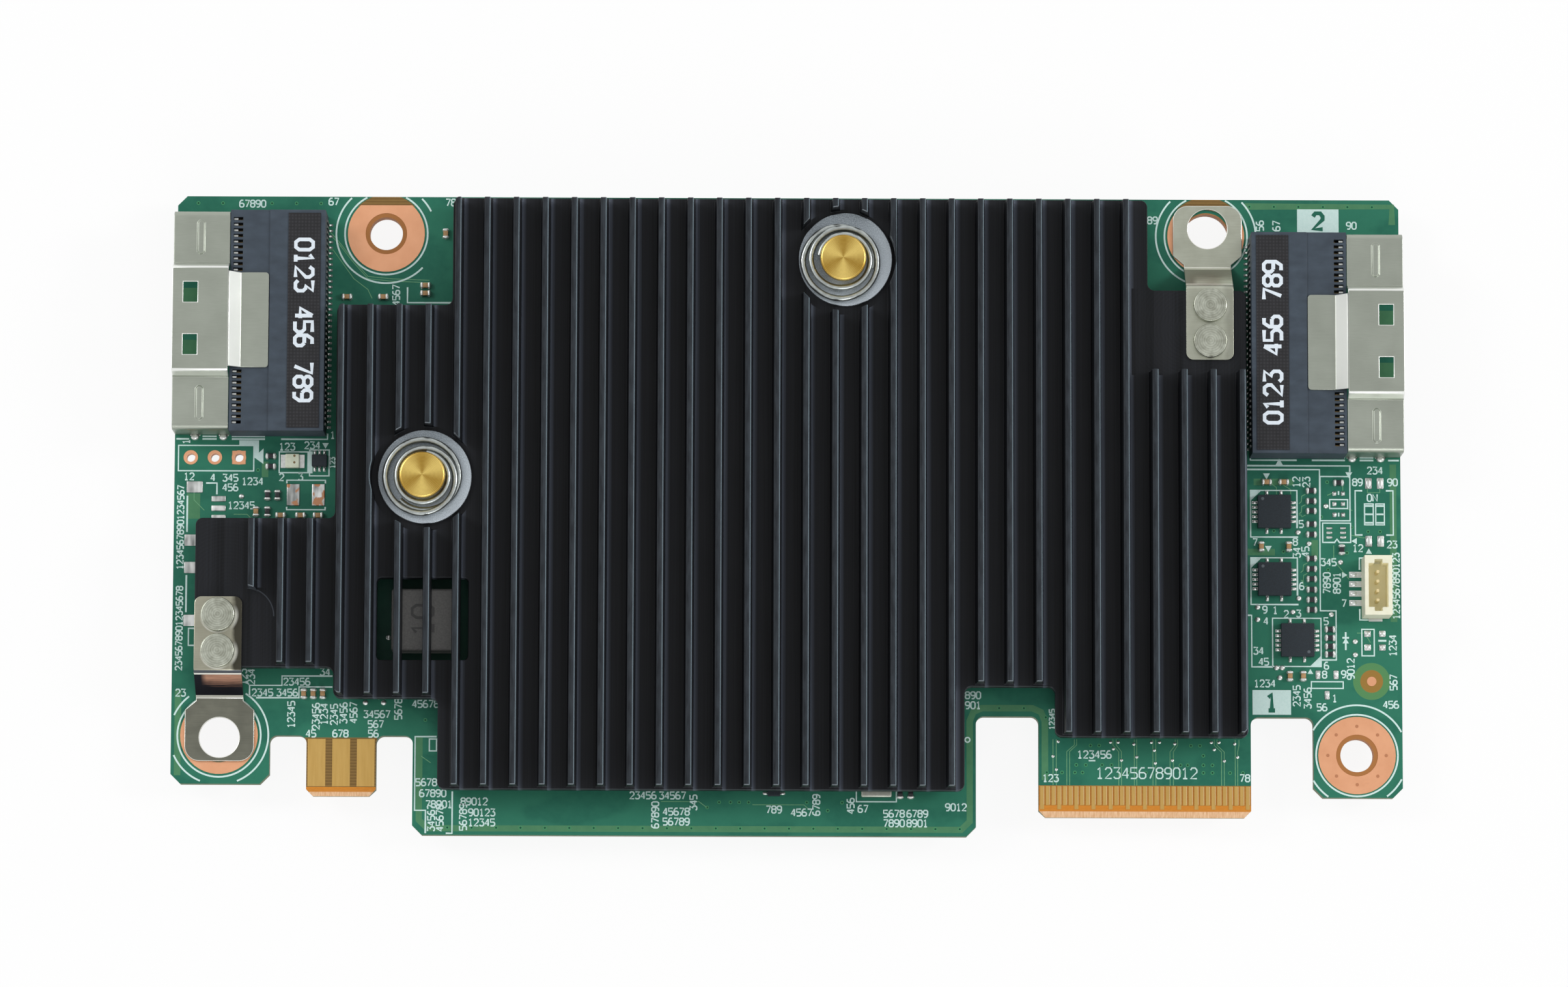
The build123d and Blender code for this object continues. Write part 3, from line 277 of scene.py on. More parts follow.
HOLES = [(0.0, 0.0, 2.4), (17.05, 53.35, 1.75), (103.9, 53.35, 2.4), (119.55, -1.75, 1.75)]
PLATED_HOLES = [(-3.35, 29.4), (-0.81, 29.4), (1.73, 29.4)]
laminate = Finish("solder_mask")
flat_face = abs(laminate.facing()[2]) > 0.6
mottle = laminate.grain((0.09, 0.16, 0.1), 3.0)
target = laminate.around(121.15, 6.07)
# The mask's greens with its lighter pours and the registration mark's rings, and painted shade darkening the
# board seen through the heatsink's window.
mask_green_and_shade = laminate.layers(
    laminate.mix(mottle.ramp(0.46, 0.52), (28, 98, 80), (40, 112, 90)),
    (laminate.grain(1.6, 4.0) * 0.5, (52, 126, 100)), (target < 1.95, (84, 136, 86)),
    (target < 1.2, (152, 116, 54)), (laminate.within(16.0, 26.8, 7.0, 17.0) * 0.7, (12, 30, 26)),
)
near_hole = 0.0
for hole_x, hole_y, hole_r in HOLES:
    near_hole = (laminate.around(hole_x, hole_y) < max(2.28, hole_r + 0.1)) | near_hole
# The walls of the three holes in a row are painted lighter than bare copper, painted light against the shade
# inside the holes.
lit_plated_wall = 0.0
for hole_x, hole_y in PLATED_HOLES:
    lit_plated_wall = (laminate.around(hole_x, hole_y) < 0.55) | lit_plated_wall
above_hole = 0.0
for hole_x, hole_y, hole_r in HOLES[1:3]:
    arc = (laminate.around(hole_x, hole_y) < 4.2) * (laminate.y > hole_y + 2.9)
    above_hole = arc | above_hole
fibre = laminate.grain((3.0, 11.0, 1.0), 3.0)
ribs = laminate.y.ripple(20.0)
amber = laminate.mix(fibre, (160, 102, 34), (190, 130, 52))
olive_brown = laminate.mix(ribs * 0.6 + fibre * 0.4, (104, 78, 40), (142, 112, 62))
bright_amber = laminate.mix(fibre, (194, 118, 34), (214, 142, 52))
weave = laminate.grain((8.0, 1.5, 1.0), 4.0).ramp(0.3, 0.7)
bevel_fibre = laminate.mix(weave, (214, 164, 118), (238, 200, 162))
on_tongue = laminate.within(86.0, 108.5, -9.0, -5.0)
on_power = laminate.within(9.0, 16.6, -7.0, -0.2)
board_face = laminate.layers(
    mask_green_and_shade, (on_tongue, amber), (on_power | above_hole, olive_brown),
    (on_tongue * (laminate.y < -7.1) | on_power * (laminate.y < -5.4), bright_amber),
    (on_tongue * (laminate.y < -7.72) | on_power * (laminate.y < -5.9), bevel_fibre),
    (near_hole, (168, 112, 62)),
)
edge_tone = laminate.layers(
    laminate.mix(laminate.grain((0.8, 0.8, 14.0)), (64, 84, 48), (96, 104, 62)),
    (near_hole, (176, 112, 52)), (lit_plated_wall, (255, 216, 184)),
)
laminate.coat(
    Base_Color=laminate.mix(flat_face, edge_tone, board_face),
    Roughness=0.42 + 0.2 * laminate.grain(2.0),
    Normal=laminate.bump(laminate.grain((2.5, 2.5, 1.0), 4.0), 0.12),
    Specular_IOR_Level=0.22,
)
coat_node("circuit_board", laminate)


def worked_in(piece):
    """The piece as plain mesh, with its modifiers worked in."""
    shapes = bpy.context.evaluated_depsgraph_get()
    piece.data = bpy.data.meshes.new_from_object(piece.evaluated_get(shapes), depsgraph=shapes)
    piece.modifiers.clear()
    return piece


class Recipe(Nodes):
    """A Geometry Nodes tree with named sizes. apply() runs it on a piece and leaves plain mesh."""

    def __init__(self, title, **sizes):
        super().__init__(bpy.data.node_groups.new(title, "GeometryNodeTree"))
        face = self.tree.interface
        face.new_socket("Geometry", in_out="INPUT", socket_type="NodeSocketGeometry")
        face.new_socket("Geometry", in_out="OUTPUT", socket_type="NodeSocketGeometry")
        self.sizes = {}
        for size, value in sizes.items():
            kind = "NodeSocketInt" if isinstance(value, int) else "NodeSocketFloat"
            socket = face.new_socket(size, in_out="INPUT", socket_type=kind)
            socket.default_value = value
            self.sizes[size] = socket.identifier
        self.sizes["finish"] = face.new_socket(
            "finish", in_out="INPUT", socket_type="NodeSocketMaterial").identifier
        self.given = self.node("NodeGroupInput", {}, {}, "Geometry")

    def sweep(self, path, section, smooth, caps=True):
        swept = self.node("GeometryNodeCurveToMesh", {}, {
            "Curve": path, "Profile Curve": section, "Fill Caps": caps})
        return self.node("GeometryNodeSetShadeSmooth", {}, {0: swept, "Shade Smooth": smooth})

    def close(self, shape):
        whole = self.node("GeometryNodeRealizeInstances", {}, {0: shape})
        sizes = {"Geometry": whole, "Material": self.given.out("finish")}
        coated = self.node("GeometryNodeSetMaterial", {}, sizes)
        out = self.tree.nodes.new("NodeGroupOutput")
        self.feed(out.inputs[0], coated)

    def apply(self, piece, finish, **sizes):
        modifier = piece.modifiers.new("recipe", "NODES")
        modifier.node_group = self.tree
        modifier[self.sizes["finish"]] = finish.material
        for size, value in sizes.items():
            modifier[self.sizes[size]] = value
        return worked_in(piece)


def lay_out(title, points, edges=(), faces=()):
    """A new piece from points in millimetres."""
    mesh = bpy.data.meshes.new(title)
    mesh.from_pydata([[value / 1000 for value in point] for point in points], edges, faces)
    return placed(title, mesh)


def lay_lines(title, lines, z):
    """A piece of bare edges, one run for each line of points, for a recipe to thicken. Each run lies a
    hair above the last, so that no two flat faces meet where lines cross."""
    points = []
    edges = []
    for i, line in enumerate(lines):
        start = len(points)
        closed = len(line) > 3 and line[0] == line[-1]
        count = len(line) - 1 if closed else len(line)
        points += [(x, y, z + 0.0012 * (i % 5)) for x, y in line[:count]]
        edges += [(start + j, start + j + 1) for j in range(count - 1)]
        if closed:
            edges.append((start + count - 1, start))
    return lay_out(title, points, edges)


def settle(piece, slot, *nodes):
    """Fixes a finished piece to the card, in place of CAD solids where it names them."""
    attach(piece, "root")
    if nodes:
        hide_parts(*nodes)
    return piece


BOARD_TOP = 1.57
strips = Recipe("strips", width=0.0002, height=0.00002)
path = strips.node("GeometryNodeMeshToCurve", {}, {"Mesh": strips.given})
path = strips.node("GeometryNodeSetCurveNormal", {"mode": "Z_UP"}, {"Curve": path})
section = strips.node("GeometryNodeCurvePrimitiveQuadrilateral", {}, {
    "Width": strips.given.out("width"), "Height": strips.given.out("height")})
strips.close(strips.sweep(path, section, False))


def lay_strips(title, lines, z, finish, width, height, slot="board_laminate"):
    """A flat strip along each line, in millimetres, fixed to the card."""
    piece = strips.apply(lay_lines(title, lines, z), finish, width=width / 1000, height=height / 1000)
    settle(piece, slot)


# Copper under the mask: etched lines in pairs, lighter pours and the plated vias that stitch them.
# The flat artwork is measured from the middle of the card.
MIDDLE_X = 59.65
MIDDLE_Y = 25.77
# Each receptacle's short edge of the card, the way in from it, and how far up its middle is.
RECEPTACLES = [("left", -64.7, 1, 17.63), ("right", 64.7, -1, 15.63)]


def from_middle(lines):
    return [[(x + MIDDLE_X, y + MIDDLE_Y) for x, y in line] for line in lines]


traces = [
    [(-48.5, 27.7), (-47.65, 26.75), (-46.1, 24.8), (-44.5, 23.0), (-42.0, 22.75), (-38.0, 22.6)],
    [(-48.5, 27.4), (-47.65, 26.5), (-46.1, 24.55), (-44.5, 22.75), (-42.0, 22.5), (-38.0, 22.35)],
    [(-48.6, 25.85), (-48.2, 25.8), (-46.0, 22.75), (-44.5, 21.6), (-44.05, 20.65)],
]
for top, foot in [
    (27.95, 27.95), (28.3, 28.3), (30.2, 29.4), (30.45, 29.7), (34.25, 34.85), (34.6, 35.15), (36.5, 36.5),
    (36.75, 36.75), (38.45, 38.45), (38.75, 38.75), (40.8, 40.25), (41.05, 40.6), (44.9, 45.65),
    (45.2, 45.95), (47.1, 47.1), (47.5, 47.35),
]:
    traces.append([(top, -25.9), (top, -26.5), (foot, -27.2), (foot, -30.75)])
for x, y, step in [(53.95, 0.1, -1.0), (53.95, -1.0, -1.0), (53.95, -2.1, 0.0), (54.1, -7.2, -1.0),
                   (54.1, -8.3, -1.0), (54.1, -9.6, 0.6)]:
    traces.append([(x, y + step), (x + 0.25, y + 0.8 * step), (x + 0.3, y - 0.2), (x + 0.7, y)])
traces += [
    [(51.1, 1.2), (51.6, 0.8), (51.6, 0.1)], [(52.3, 1.1), (53.1, 0.6), (53.1, 0.1)],
    [(56.95, 0.0), (57.2, 0.1), (57.6, 0.3)], [(58.6, 1.2), (58.6, 0.5)], [(58.6, -1.3), (59.6, -1.6)],
    [(59.4, -4.2), (60.6, -4.5), (61.2, -4.5)], [(61.2, 0.8), (61.2, 0.3), (62.5, 0.3), (62.5, 0.8)],
    [(57.6, -5.3), (57.6, -6.9), (59.2, -8.9)], [(60.0, -14.6), (60.8, -14.6), (61.4, -15.6)],
    [(-62.6, 0.0), (-62.6, -0.9), (-61.5, -2.0)], [(-58.4, -2.4), (-57.0, -2.4), (-56.4, -3.0)],
    [(-46.4, -20.2), (-43.6, -20.2), (-42.9, -21.0), (-42.9, -22.0)], [(-38.4, -27.9), (-37.4, -28.6)],
    [(-13.2, -32.6), (-9.2, -32.6), (-8.4, -33.2)], [(-3.6, -32.9), (1.8, -32.9), (2.6, -33.6)],
]
copper_line = grained("copper_line_under_mask", 3.0, 2.0, (88, 146, 106), (122, 174, 134),
                      Roughness=0.4, Specular_IOR_Level=0.22)
lay_strips("signal_lines", from_middle(traces), BOARD_TOP + 0.006, copper_line, 0.08, 0.006)
pour = grained("ground_pour_under_mask", 1.2, 4.0, (66, 122, 88), (84, 138, 98),
               Roughness=0.42, Specular_IOR_Level=0.22)
bands = [
    [(-38.6, -25.9), (-38.6, -34.6), (-37.7, -35.47), (18.3, -35.47), (19.2, -34.6), (19.2, -24.0),
     (19.6, -23.05), (20.5, -22.65), (25.8, -22.65), (26.7, -23.05), (27.1, -24.0), (27.1, -30.2)],
    [(48.4, 30.83), (64.0, 30.83), (64.0, 28.9)], [(63.9, 3.3), (63.9, -13.4)], [(55.6, -4.75), (55.6, -6.9)],
    [(48.5, -6.05), (51.4, -6.05)], [(49.2, 1.4), (53.4, 1.4)], [(-55.15, 3.2), (-55.15, 1.55)],
    [(-63.0, -0.2), (-63.0, -2.9)], [(-62.3, -0.2), (-62.3, -2.9)], [(-64.0, -21.0), (-64.0, -30.0)],
]
for side, edge, way, middle in RECEPTACLES:
    for x in [edge + way * row for row in (0.8, 1.5, 2.2)]:
        bands += [[(x, middle + v - 1.3), (x, middle + v + 1.3)] for v in (-2.78, 2.78)]
lay_strips("ground_pours", from_middle(bands), BOARD_TOP + 0.002, pour, 0.7, 0.004)

dots = Recipe("dots", radius=0.0003, height=0.00004, sides=10)
sizes = {"Vertices": dots.given.out("sides"), "Radius": dots.given.out("radius")}
dot = dots.node("GeometryNodeMeshCylinder", {}, {**sizes, "Depth": dots.given.out("height")})
dots.close(dots.node("GeometryNodeInstanceOnPoints", {}, {"Points": dots.given, "Instance": dot}))


def lay_dots(title, points, finish, radius, height, slot):
    """A flat dot on each point, in millimetres, fixed to the card."""
    settle(dots.apply(lay_out(title, points), finish, radius=radius / 1000, height=height / 1000), slot)


vias = [(-35.6 + 2.56 * i, -35.4) for i in range(22)] + [(-62.55 + 2.6 * i, 30.8) for i in range(6)]
vias += [(48.9 + 2.6 * i, 30.8) for i in range(6)] + [(x, -32.65) for x in (-7.1, -5.9, -5.0, -4.0, 2.1, 5.8)]
vias += [(x, -29.4) for x in (27.3, 28.9, 30.25, 31.05, 35.85, 37.7, 39.5, 41.3, 43.75, 44.7, 46.55, 47.9)]
vias += [(x, -28.6) for x in (30.4, 31.4, 33.1, 34.1, 41.35, 42.1, 43.75, 44.7)]
vias += [(31.9, -26.55), (32.8, -26.55), (42.45, -26.55), (43.4, -26.55), (43.75, -27.6), (22.3, -22.65),
         (24.9, -22.65), (27.2, -23.6), (-8.35, -33.2), (4.3, -33.5), (56.95, 1.4), (56.3, -2.3),
         (59.5, -3.4), (61.25, -3.85), (62.5, -3.85), (59.0, -6.1), (52.3, -6.0), (51.3, -3.8), (57.0, -7.9),
         (-58.6, -3.6), (-57.2, -4.4), (-60.4, -2.6), (-55.9, 2.3), (-45.2, -20.9), (-41.2, -23.9),
         (-38.0, -24.1)]
via_spots = [(x + MIDDLE_X, y + MIDDLE_Y, BOARD_TOP + 0.003) for x, y in vias]
for title, tone, radius, height in [
    ("via_rings", (70, 146, 100), 0.2, 0.008), ("via_holes", (20, 72, 54), 0.11, 0.012),
]:
    via = Finish(title + "_under_mask").coat(Base_Color=tone, Roughness=0.4, Specular_IOR_Level=0.25)
    lay_dots(title, via_spots, via, radius, height, "board_laminate")

# Silkscreen: white ink printed on the mask, with outlines of the parts, rings round the holes and
# plain place numbers. It is a few hundredths of a millimetre proud.
SIGNS = {
    "0": [[(0, 2), (0, 8), (1.5, 10), (4.5, 10), (6, 8), (6, 2), (4.5, 0), (1.5, 0), (0, 2)]],
    "1": [[(1, 8), (3, 10), (3, 0)], [(1, 0), (5, 0)]],
    "2": [[(0, 8), (1.5, 10), (4.5, 10), (6, 8), (6, 6), (0, 0), (6, 0)]],
    "3": [[(0, 10), (6, 10), (3, 6), (4.5, 6), (6, 4.5), (6, 1.5), (4.5, 0), (1.5, 0), (0, 1.5)]],
    "4": [[(4.5, 0), (4.5, 10)], [(4.5, 10), (0, 3), (6, 3)]],
    "5": [[(6, 10), (0, 10), (0, 5.5), (4.5, 5.5), (6, 4), (6, 1.5), (4.5, 0), (0, 0)]],
    "6": [[(5, 10), (2, 10), (0, 7), (0, 1.5), (1.5, 0), (4.5, 0), (6, 1.5), (6, 4), (4.5, 5.5)],
          [(4.5, 5.5), (0, 5.5)]],
    "7": [[(0, 10), (6, 10), (2, 0)]],
    "8": [[(1.5, 5.5), (0, 7), (0, 8.5), (1.5, 10), (4.5, 10), (6, 8.5), (6, 7), (4.5, 5.5), (1.5, 5.5)],
          [(1.5, 5.5), (0, 4), (0, 1.5), (1.5, 0), (4.5, 0), (6, 1.5), (6, 4), (4.5, 5.5)]],
    "N": [[(0, 0), (0, 10), (6, 0), (6, 10)]],
    " ": [],
}
SIGNS["9"] = [[(6 - x, 10 - y) for x, y in run] for run in SIGNS["6"]]
SIGNS["O"] = SIGNS["0"]


def number(text, x, y, height, turn=0):
    """Stroke lines of a printed number, centred on x, y."""
    runs = []
    width = len(text) * 0.8 * height - 0.2 * height
    for i, sign in enumerate(text):
        for stroke in SIGNS[sign]:
            run = []
            for px, py in stroke:
                at = Vector((i * 0.8 * height + px / 10 * height - width / 2, (py / 10 - 0.5) * height))
                at.rotate(Matrix.Rotation(radians(turn), 2))
                run.append((x + at.x, y + at.y))
            runs.append(run)
    return runs


def place_numbers(digits, height, turn, spots):
    """Plain counting numbers of so many digits, one at each spot."""
    runs = []
    for i, (x, y) in enumerate(spots):
        runs += number(("1234567890" * 3)[i % 9:][:digits], x, y, height, turn)
    return runs


def frame_lines(left, right, bottom, top):
    return [[(left, bottom), (right, bottom), (right, top), (left, top), (left, bottom)]]


def arc_line(x, y, radius, start, end, steps=60):
    turns = [radians(start + (end - start) * i / steps) for i in range(steps + 1)]
    return [[(x + radius * cos(turn), y + radius * sin(turn)) for turn in turns]]


ink = grained("white_ink", 6.0, 4.0, (190, 222, 216), (220, 240, 236), Roughness=0.7, Specular_IOR_Level=0.2)
hole_rings = []
for hole_x, hole_y, radius, arcs in [
    (0.0, 0.0, 4.38, [(100, 440)]), (0.0, 0.0, 5.18, [(128, 156), (204, 248), (292, 418)]),
    (17.05, 53.35, 4.38, [(118, 422)]), (17.05, 53.35, 5.3, [(27, 45), (134, 317)]),
    (103.9, 53.35, 4.38, [(118, 422)]), (103.9, 53.35, 5.3, [(135, 250), (-30, 44)]),
    (119.55, -1.75, 4.3, [(0, 360)]), (119.55, -1.75, 5.3, [(28, 150), (210, 235), (306, 332)]),
]:
    for start, end in arcs:
        hole_rings += arc_line(hole_x, hole_y, radius, start, end)
outlines = []
for left, right, bottom, top in [
    (-53.66, -50.2, 2.03, 4.24), (-50.45, -48.4, 1.7, 4.46), (-64.3, -56.35, 2.2, 4.9),
    (7.3, 11.5, -32.55, -29.0), (-37.55, -36.8, -27.35, -26.1), (56.2, 59.35, -2.7, 2.0),
    (57.2, 59.1, -1.4, -0.45),
    (60.88, 61.8, -3.12, -0.9), (62.06, 62.97, -3.12, -0.9), (51.1, 56.2, -18.15, -13.05),
    (55.15, 58.5, -20.45, -19.75), (60.5, 61.8, -17.0, -14.2),
]:
    outlines += frame_lines(left, right, bottom, top)
for y in (0.5, -6.65):
    outlines.append([(53.75, y - 4.0), (53.75, y), (48.85, y), (48.85, y - 4.95), (53.85, y - 4.95)])
for x in (61.34, 62.52):
    for y in (-1.12, -2.0, -2.9):
        outlines.append([(x - 0.42, y), (x + 0.42, y)])
outlines += [
    [(48.5, 3.13), (59.35, 3.13), (59.35, 2.5)], [(48.85, 4.25), (48.85, 3.72), (53.75, 3.72)],
    [(48.5, 2.73), (56.15, 2.73), (56.15, -12.25), (57.8, -12.25), (57.8, -17.45), (56.2, -17.45)],
    [(55.35, 3.72), (58.85, 3.72)], [(60.4, 3.72), (61.85, 3.72)], [(63.4, 3.72), (64.55, 3.72)],
    [(56.45, -5.0), (56.45, -2.95), (59.4, -2.95), (59.4, -5.0), (58.2, -5.0), (57.95, -4.65), (57.7, -5.0),
     (56.45, -5.0)],
    [(60.65, 0.5), (59.9, 0.5), (59.9, -4.2), (60.65, -4.2)],
    [(63.15, 0.5), (63.9, 0.5), (63.9, -4.2), (63.15, -4.2)],
    [(48.5, -12.75), (48.9, -12.75), (48.9, -18.2), (51.1, -18.2)], [(58.8, -14.5), (58.8, -16.4)],
    [(58.45, -15.1), (59.15, -15.1)], [(60.3, -12.05), (60.3, -13.2), (61.45, -13.2)],
    [(60.3, -7.9), (60.3, -6.65), (60.7, -6.65)],
    [(-52.83, 0.9), (-52.83, 1.23), (-48.77, 1.23), (-48.77, 0.9)],
    [(-52.83, -1.6), (-52.83, -1.9), (-48.77, -1.9), (-48.77, -1.6)],
    [(-61.35, 0.9), (-60.2, 0.9), (-60.2, -0.3)], [(-63.3, -0.45), (-63.3, -4.3)],
    [(-63.3, -8.87), (-63.3, -12.8)],
    [(-62.4, -14.5), (-63.0, -14.5), (-63.0, -16.3), (-62.4, -16.3)],
    [(-64.55, 5.59), (-63.2, 5.59)], [(-61.8, 5.59), (-60.3, 5.59)], [(-58.7, 5.59), (-55.2, 5.59)],
    [(-53.5, 5.59), (-48.6, 5.59), (-48.6, 6.2)],
    [(-47.8, -19.5), (-53.1, -19.5), (-53.1, -20.5), (-56.5, -20.5), (-56.5, -21.6)],
    [(-47.8, -20.65), (-51.3, -20.65), (-51.3, -21.8), (-55.8, -21.8)],
    [(-36.8, -25.85), (-39.05, -25.85), (-39.05, -33.6), (-37.9, -33.6), (-37.9, -36.0)],
    [(-35.1, -31.6), (-35.1, -36.0), (-35.75, -36.0)], [(-40.3, 21.85), (-40.3, 20.2), (-35.6, 20.2)],
]
for side, edge, way, middle in RECEPTACLES:
    x = edge + way * 2.45
    for y in [middle + v for v in (-2.78, 2.78)]:
        outlines += [[(x, y + start), (x, y + start + 0.7)] for start in (-0.85, 0.15)]
thin_lines = [
    [(49.2, 4.0), (53.2, 4.0)], [(55.35, 4.0), (58.85, 4.0)], [(60.4, 4.0), (61.85, 4.0)],
    [(31.7, -28.15), (32.4, -28.15)],
    [(-61.8, 5.87), (-60.3, 5.87)], [(-58.7, 5.87), (-55.2, 5.87)], [(58.15, 0.05), (58.15, 0.45)],
    [(58.15, -2.25), (58.15, -1.85)],
] + arc_line(18.97, -26.0, 0.25, 0, 360, 20)
silkscreen = hole_rings + from_middle(outlines)
lay_strips("silkscreen_outlines", silkscreen, BOARD_TOP + 0.012, ink, 0.18, 0.024)
# How many digits, how high, at what turn, and where each of such numbers stands.
NUMBER_SPOTS = [
    (1, 0.72, 0, [
     (-48.05, 6.05), (-53.4, 1.55), (-51.4, 1.6), (-60.65, 1.5), (54.2, -3.05), (54.2, -9.65),
     (49.3, -5.0), (53.55, -4.95), (50.3, -12.15), (51.4, -12.2), (52.55, -12.6), (53.85, -12.55),
     (50.4, -13.35), (56.75, -13.35), (56.75, -18.05), (58.65, -11.45), (56.55, -19.0), (58.55, -18.95),
     (57.6, -21.5)]),
    (2, 0.72, 0, [
     (-63.15, 1.6), (-63.75, -21.3), (-48.6, -19.05), (-50.0, -25.55), (-43.45, -25.55), (8.0, -33.3),
     (48.1, -29.95), (60.15, 1.4), (63.85, 1.4), (60.15, -5.6), (63.75, -5.2), (49.6, -16.5),
     (50.15, -17.65), (56.25, -22.45), (-48.2, 31.0), (-35.8, 30.95), (38.6, 29.3), (59.7, 28.8)]),
    (3, 0.72, 0, [
     (-52.85, 4.8), (-50.2, 4.95), (-58.8, 1.47), (-58.8, 0.45), (-43.2, -24.55), (-46.9, -25.55),
     (-1.35, -33.4), (19.55, -21.3), (19.55, -22.35), (27.7, -30.0), (62.0, 2.65), (57.05, -7.1),
     (63.5, -22.15)]),
    (4, 0.72, 0, [
     (-56.45, 1.1), (-55.15, -21.25), (-52.55, -21.25), (1.55, -33.7), (11.25, -33.8), (13.7, -33.8),
     (11.25, -34.8), (13.7, -34.8), (17.75, -33.1), (50.25, -19.95)]),
    (5, 0.72, 0, [
     (-57.6, -1.45), (-51.55, -20.1), (-43.1, -23.5), (-38.0, -22.4), (-37.55, -30.65), (-37.15, -31.8),
     (-36.5, -32.95), (-32.8, -32.65), (-32.0, -33.8), (-32.0, -34.85), (-15.1, -31.95), (-12.0, -31.95),
     (-11.6, -33.65), (-11.6, -34.7), (-56.8, 30.75)]),
    (6, 0.76, 0, [(32.3, -27.5)]),
    (12, 1.12, 0, [(37.8, -29.45)]),
    (1, 0.7, 90, [(-63.5, 5.3)]),
    (2, 0.74, 90, [(53.7, 1.4), (54.75, 1.4), (53.7, -6.1), (54.6, -6.0), (50.0, 28.75), (51.75, 28.75)]),
    (3, 0.72, 90, [(-57.2, -19.6), (-56.35, -19.6), (-9.8, -32.7), (6.7, -33.0), (63.8, -19.8)]),
    (3, 0.5, 90, [(-48.05, 3.1)]),
    (5, 0.55, 90, [(27.85, -23.8)]),
    (4, 0.72, 90, [
     (-48.65, -23.5), (-47.6, -23.55), (-46.6, -23.4), (-45.55, -23.35), (-40.85, -22.95), (3.1, -32.9),
     (56.85, -9.3), (57.9, -9.3), (59.3, -18.4), (63.75, -15.9), (53.6, -21.25), (54.75, -21.5),
     (-41.5, 21.0)]),
    (5, 0.72, 90, [
     (-52.1, -23.55), (-49.5, -23.75), (-37.3, -34.4), (-36.4, -34.4), (-33.95, -34.3), (-13.8, -34.0)]),
    (13, 0.68, 90, [(64.15, -9.6)]),
    (17, 0.66, 90, [(-64.0, -3.8), (-64.0, -14.5)]),
]
number_lines = thin_lines + number("ON", 61.7, -0.25, 0.74)
for digits, height, turn, spots in NUMBER_SPOTS:
    number_lines += place_numbers(digits, height, turn, spots)
lay_strips("silkscreen_numbers", from_middle(number_lines), BOARD_TOP + 0.012, ink, 0.15, 0.024)


def lay_plates(title, outlines, top, finish, slot):
    """A flat plate on the board for each closed outline, up to a height in millimetres."""
    points = []
    faces = []
    for outline in outlines:
        start = len(points)
        count = len(outline)
        points += [(x, y, BOARD_TOP) for x, y in outline] + [(x, y, top) for x, y in outline]
        faces.append([start + i for i in reversed(range(count))])
        faces.append([start + count + i for i in range(count)])
        for i in range(count):
            j = (i + 1) % count
            faces.append([start + i, start + j, start + count + j, start + count + i])
    piece = lay_out(title, points, (), faces)
    piece.data.materials.append(finish.material)
    settle(piece, slot)


def rectangle(x, y, length, width):
    dx, dy = length / 2, width / 2
    return [(x - dx, y - dy), (x + dx, y - dy), (x + dx, y + dy), (x - dx, y + dy)]


def arrow(x, y, size, turn):
    at = [radians(turn + step) for step in (0, 120, 240)]
    return [(x + size * cos(a), y + size * sin(a)) for a in at]


solid_prints = [
    rectangle(50.975, -21.95, 4.05, 2.6), rectangle(56.15, 29.27, 4.4, 2.55),
    rectangle(-50.45, 3.13, 0.5, 2.2),
    [(-57.9, 5.46), (-57.9, 4.95), (-56.28, 4.95), (-56.28, 3.62), (-55.34, 2.95), (-55.34, 4.6),
     (-55.82, 4.14), (-55.82, 5.46)],
    rectangle(62.65, -15.4, 0.85, 0.2), [(56.2, -17.0), (55.0, -18.15), (56.2, -18.15)],
]
for x, y, size, turn in [
    (50.55, 2.1, 0.42, 270), (51.9, 3.38, 0.5, 90), (59.25, 2.25, 0.42, 270), (50.7, -5.6, 0.42, 270),
    (59.85, -4.85, 0.38, 180), (61.3, -6.0, 0.38, 90), (58.65, -8.45, 0.38, 0), (-48.8, 5.0, 0.4, 270),
    (55.05, -18.75, 0.35, 90), (58.8, -15.5, 0.38, 90),
]:
    solid_prints.append(arrow(x, y, size, turn))
solid_prints += [[(48.85, y), (48.85, y - 1.1), (50.0, y)] for y in (0.5, -6.65)]
lay_plates("silkscreen_patches", from_middle(solid_prints), BOARD_TOP + 0.019, ink, "board_laminate")
dark_ink = Finish("mask_through_ink").coat(Base_Color=(34, 104, 84), Roughness=0.5, Specular_IOR_Level=0.2)
patch_numbers = from_middle(number("1", 50.975, -21.95, 1.7) + number("2", 56.15, 29.27, 1.7))
lay_strips("silkscreen_patch_numbers", patch_numbers, BOARD_TOP + 0.028, dark_ink, 0.45, 0.016)

# Copper left bare: the rings that the mounting screws press on, the three plated holes in a row at
# the left and the registration mark at the right. Rolled copper, dulled by handling.
copper = grained("bare_copper", 0.5, 5.0, (222, 158, 118), (244, 184, 144), Metallic=0.75)
copper.coat(
    Roughness=0.36 + 0.2 * copper.grain(5.0),
    Normal=copper.bump(copper.grain(8.0, 3.0), 0.15),
)
coat_node("mounting_pads_top", copper)
coat_node("mounting_pads_rear", copper)

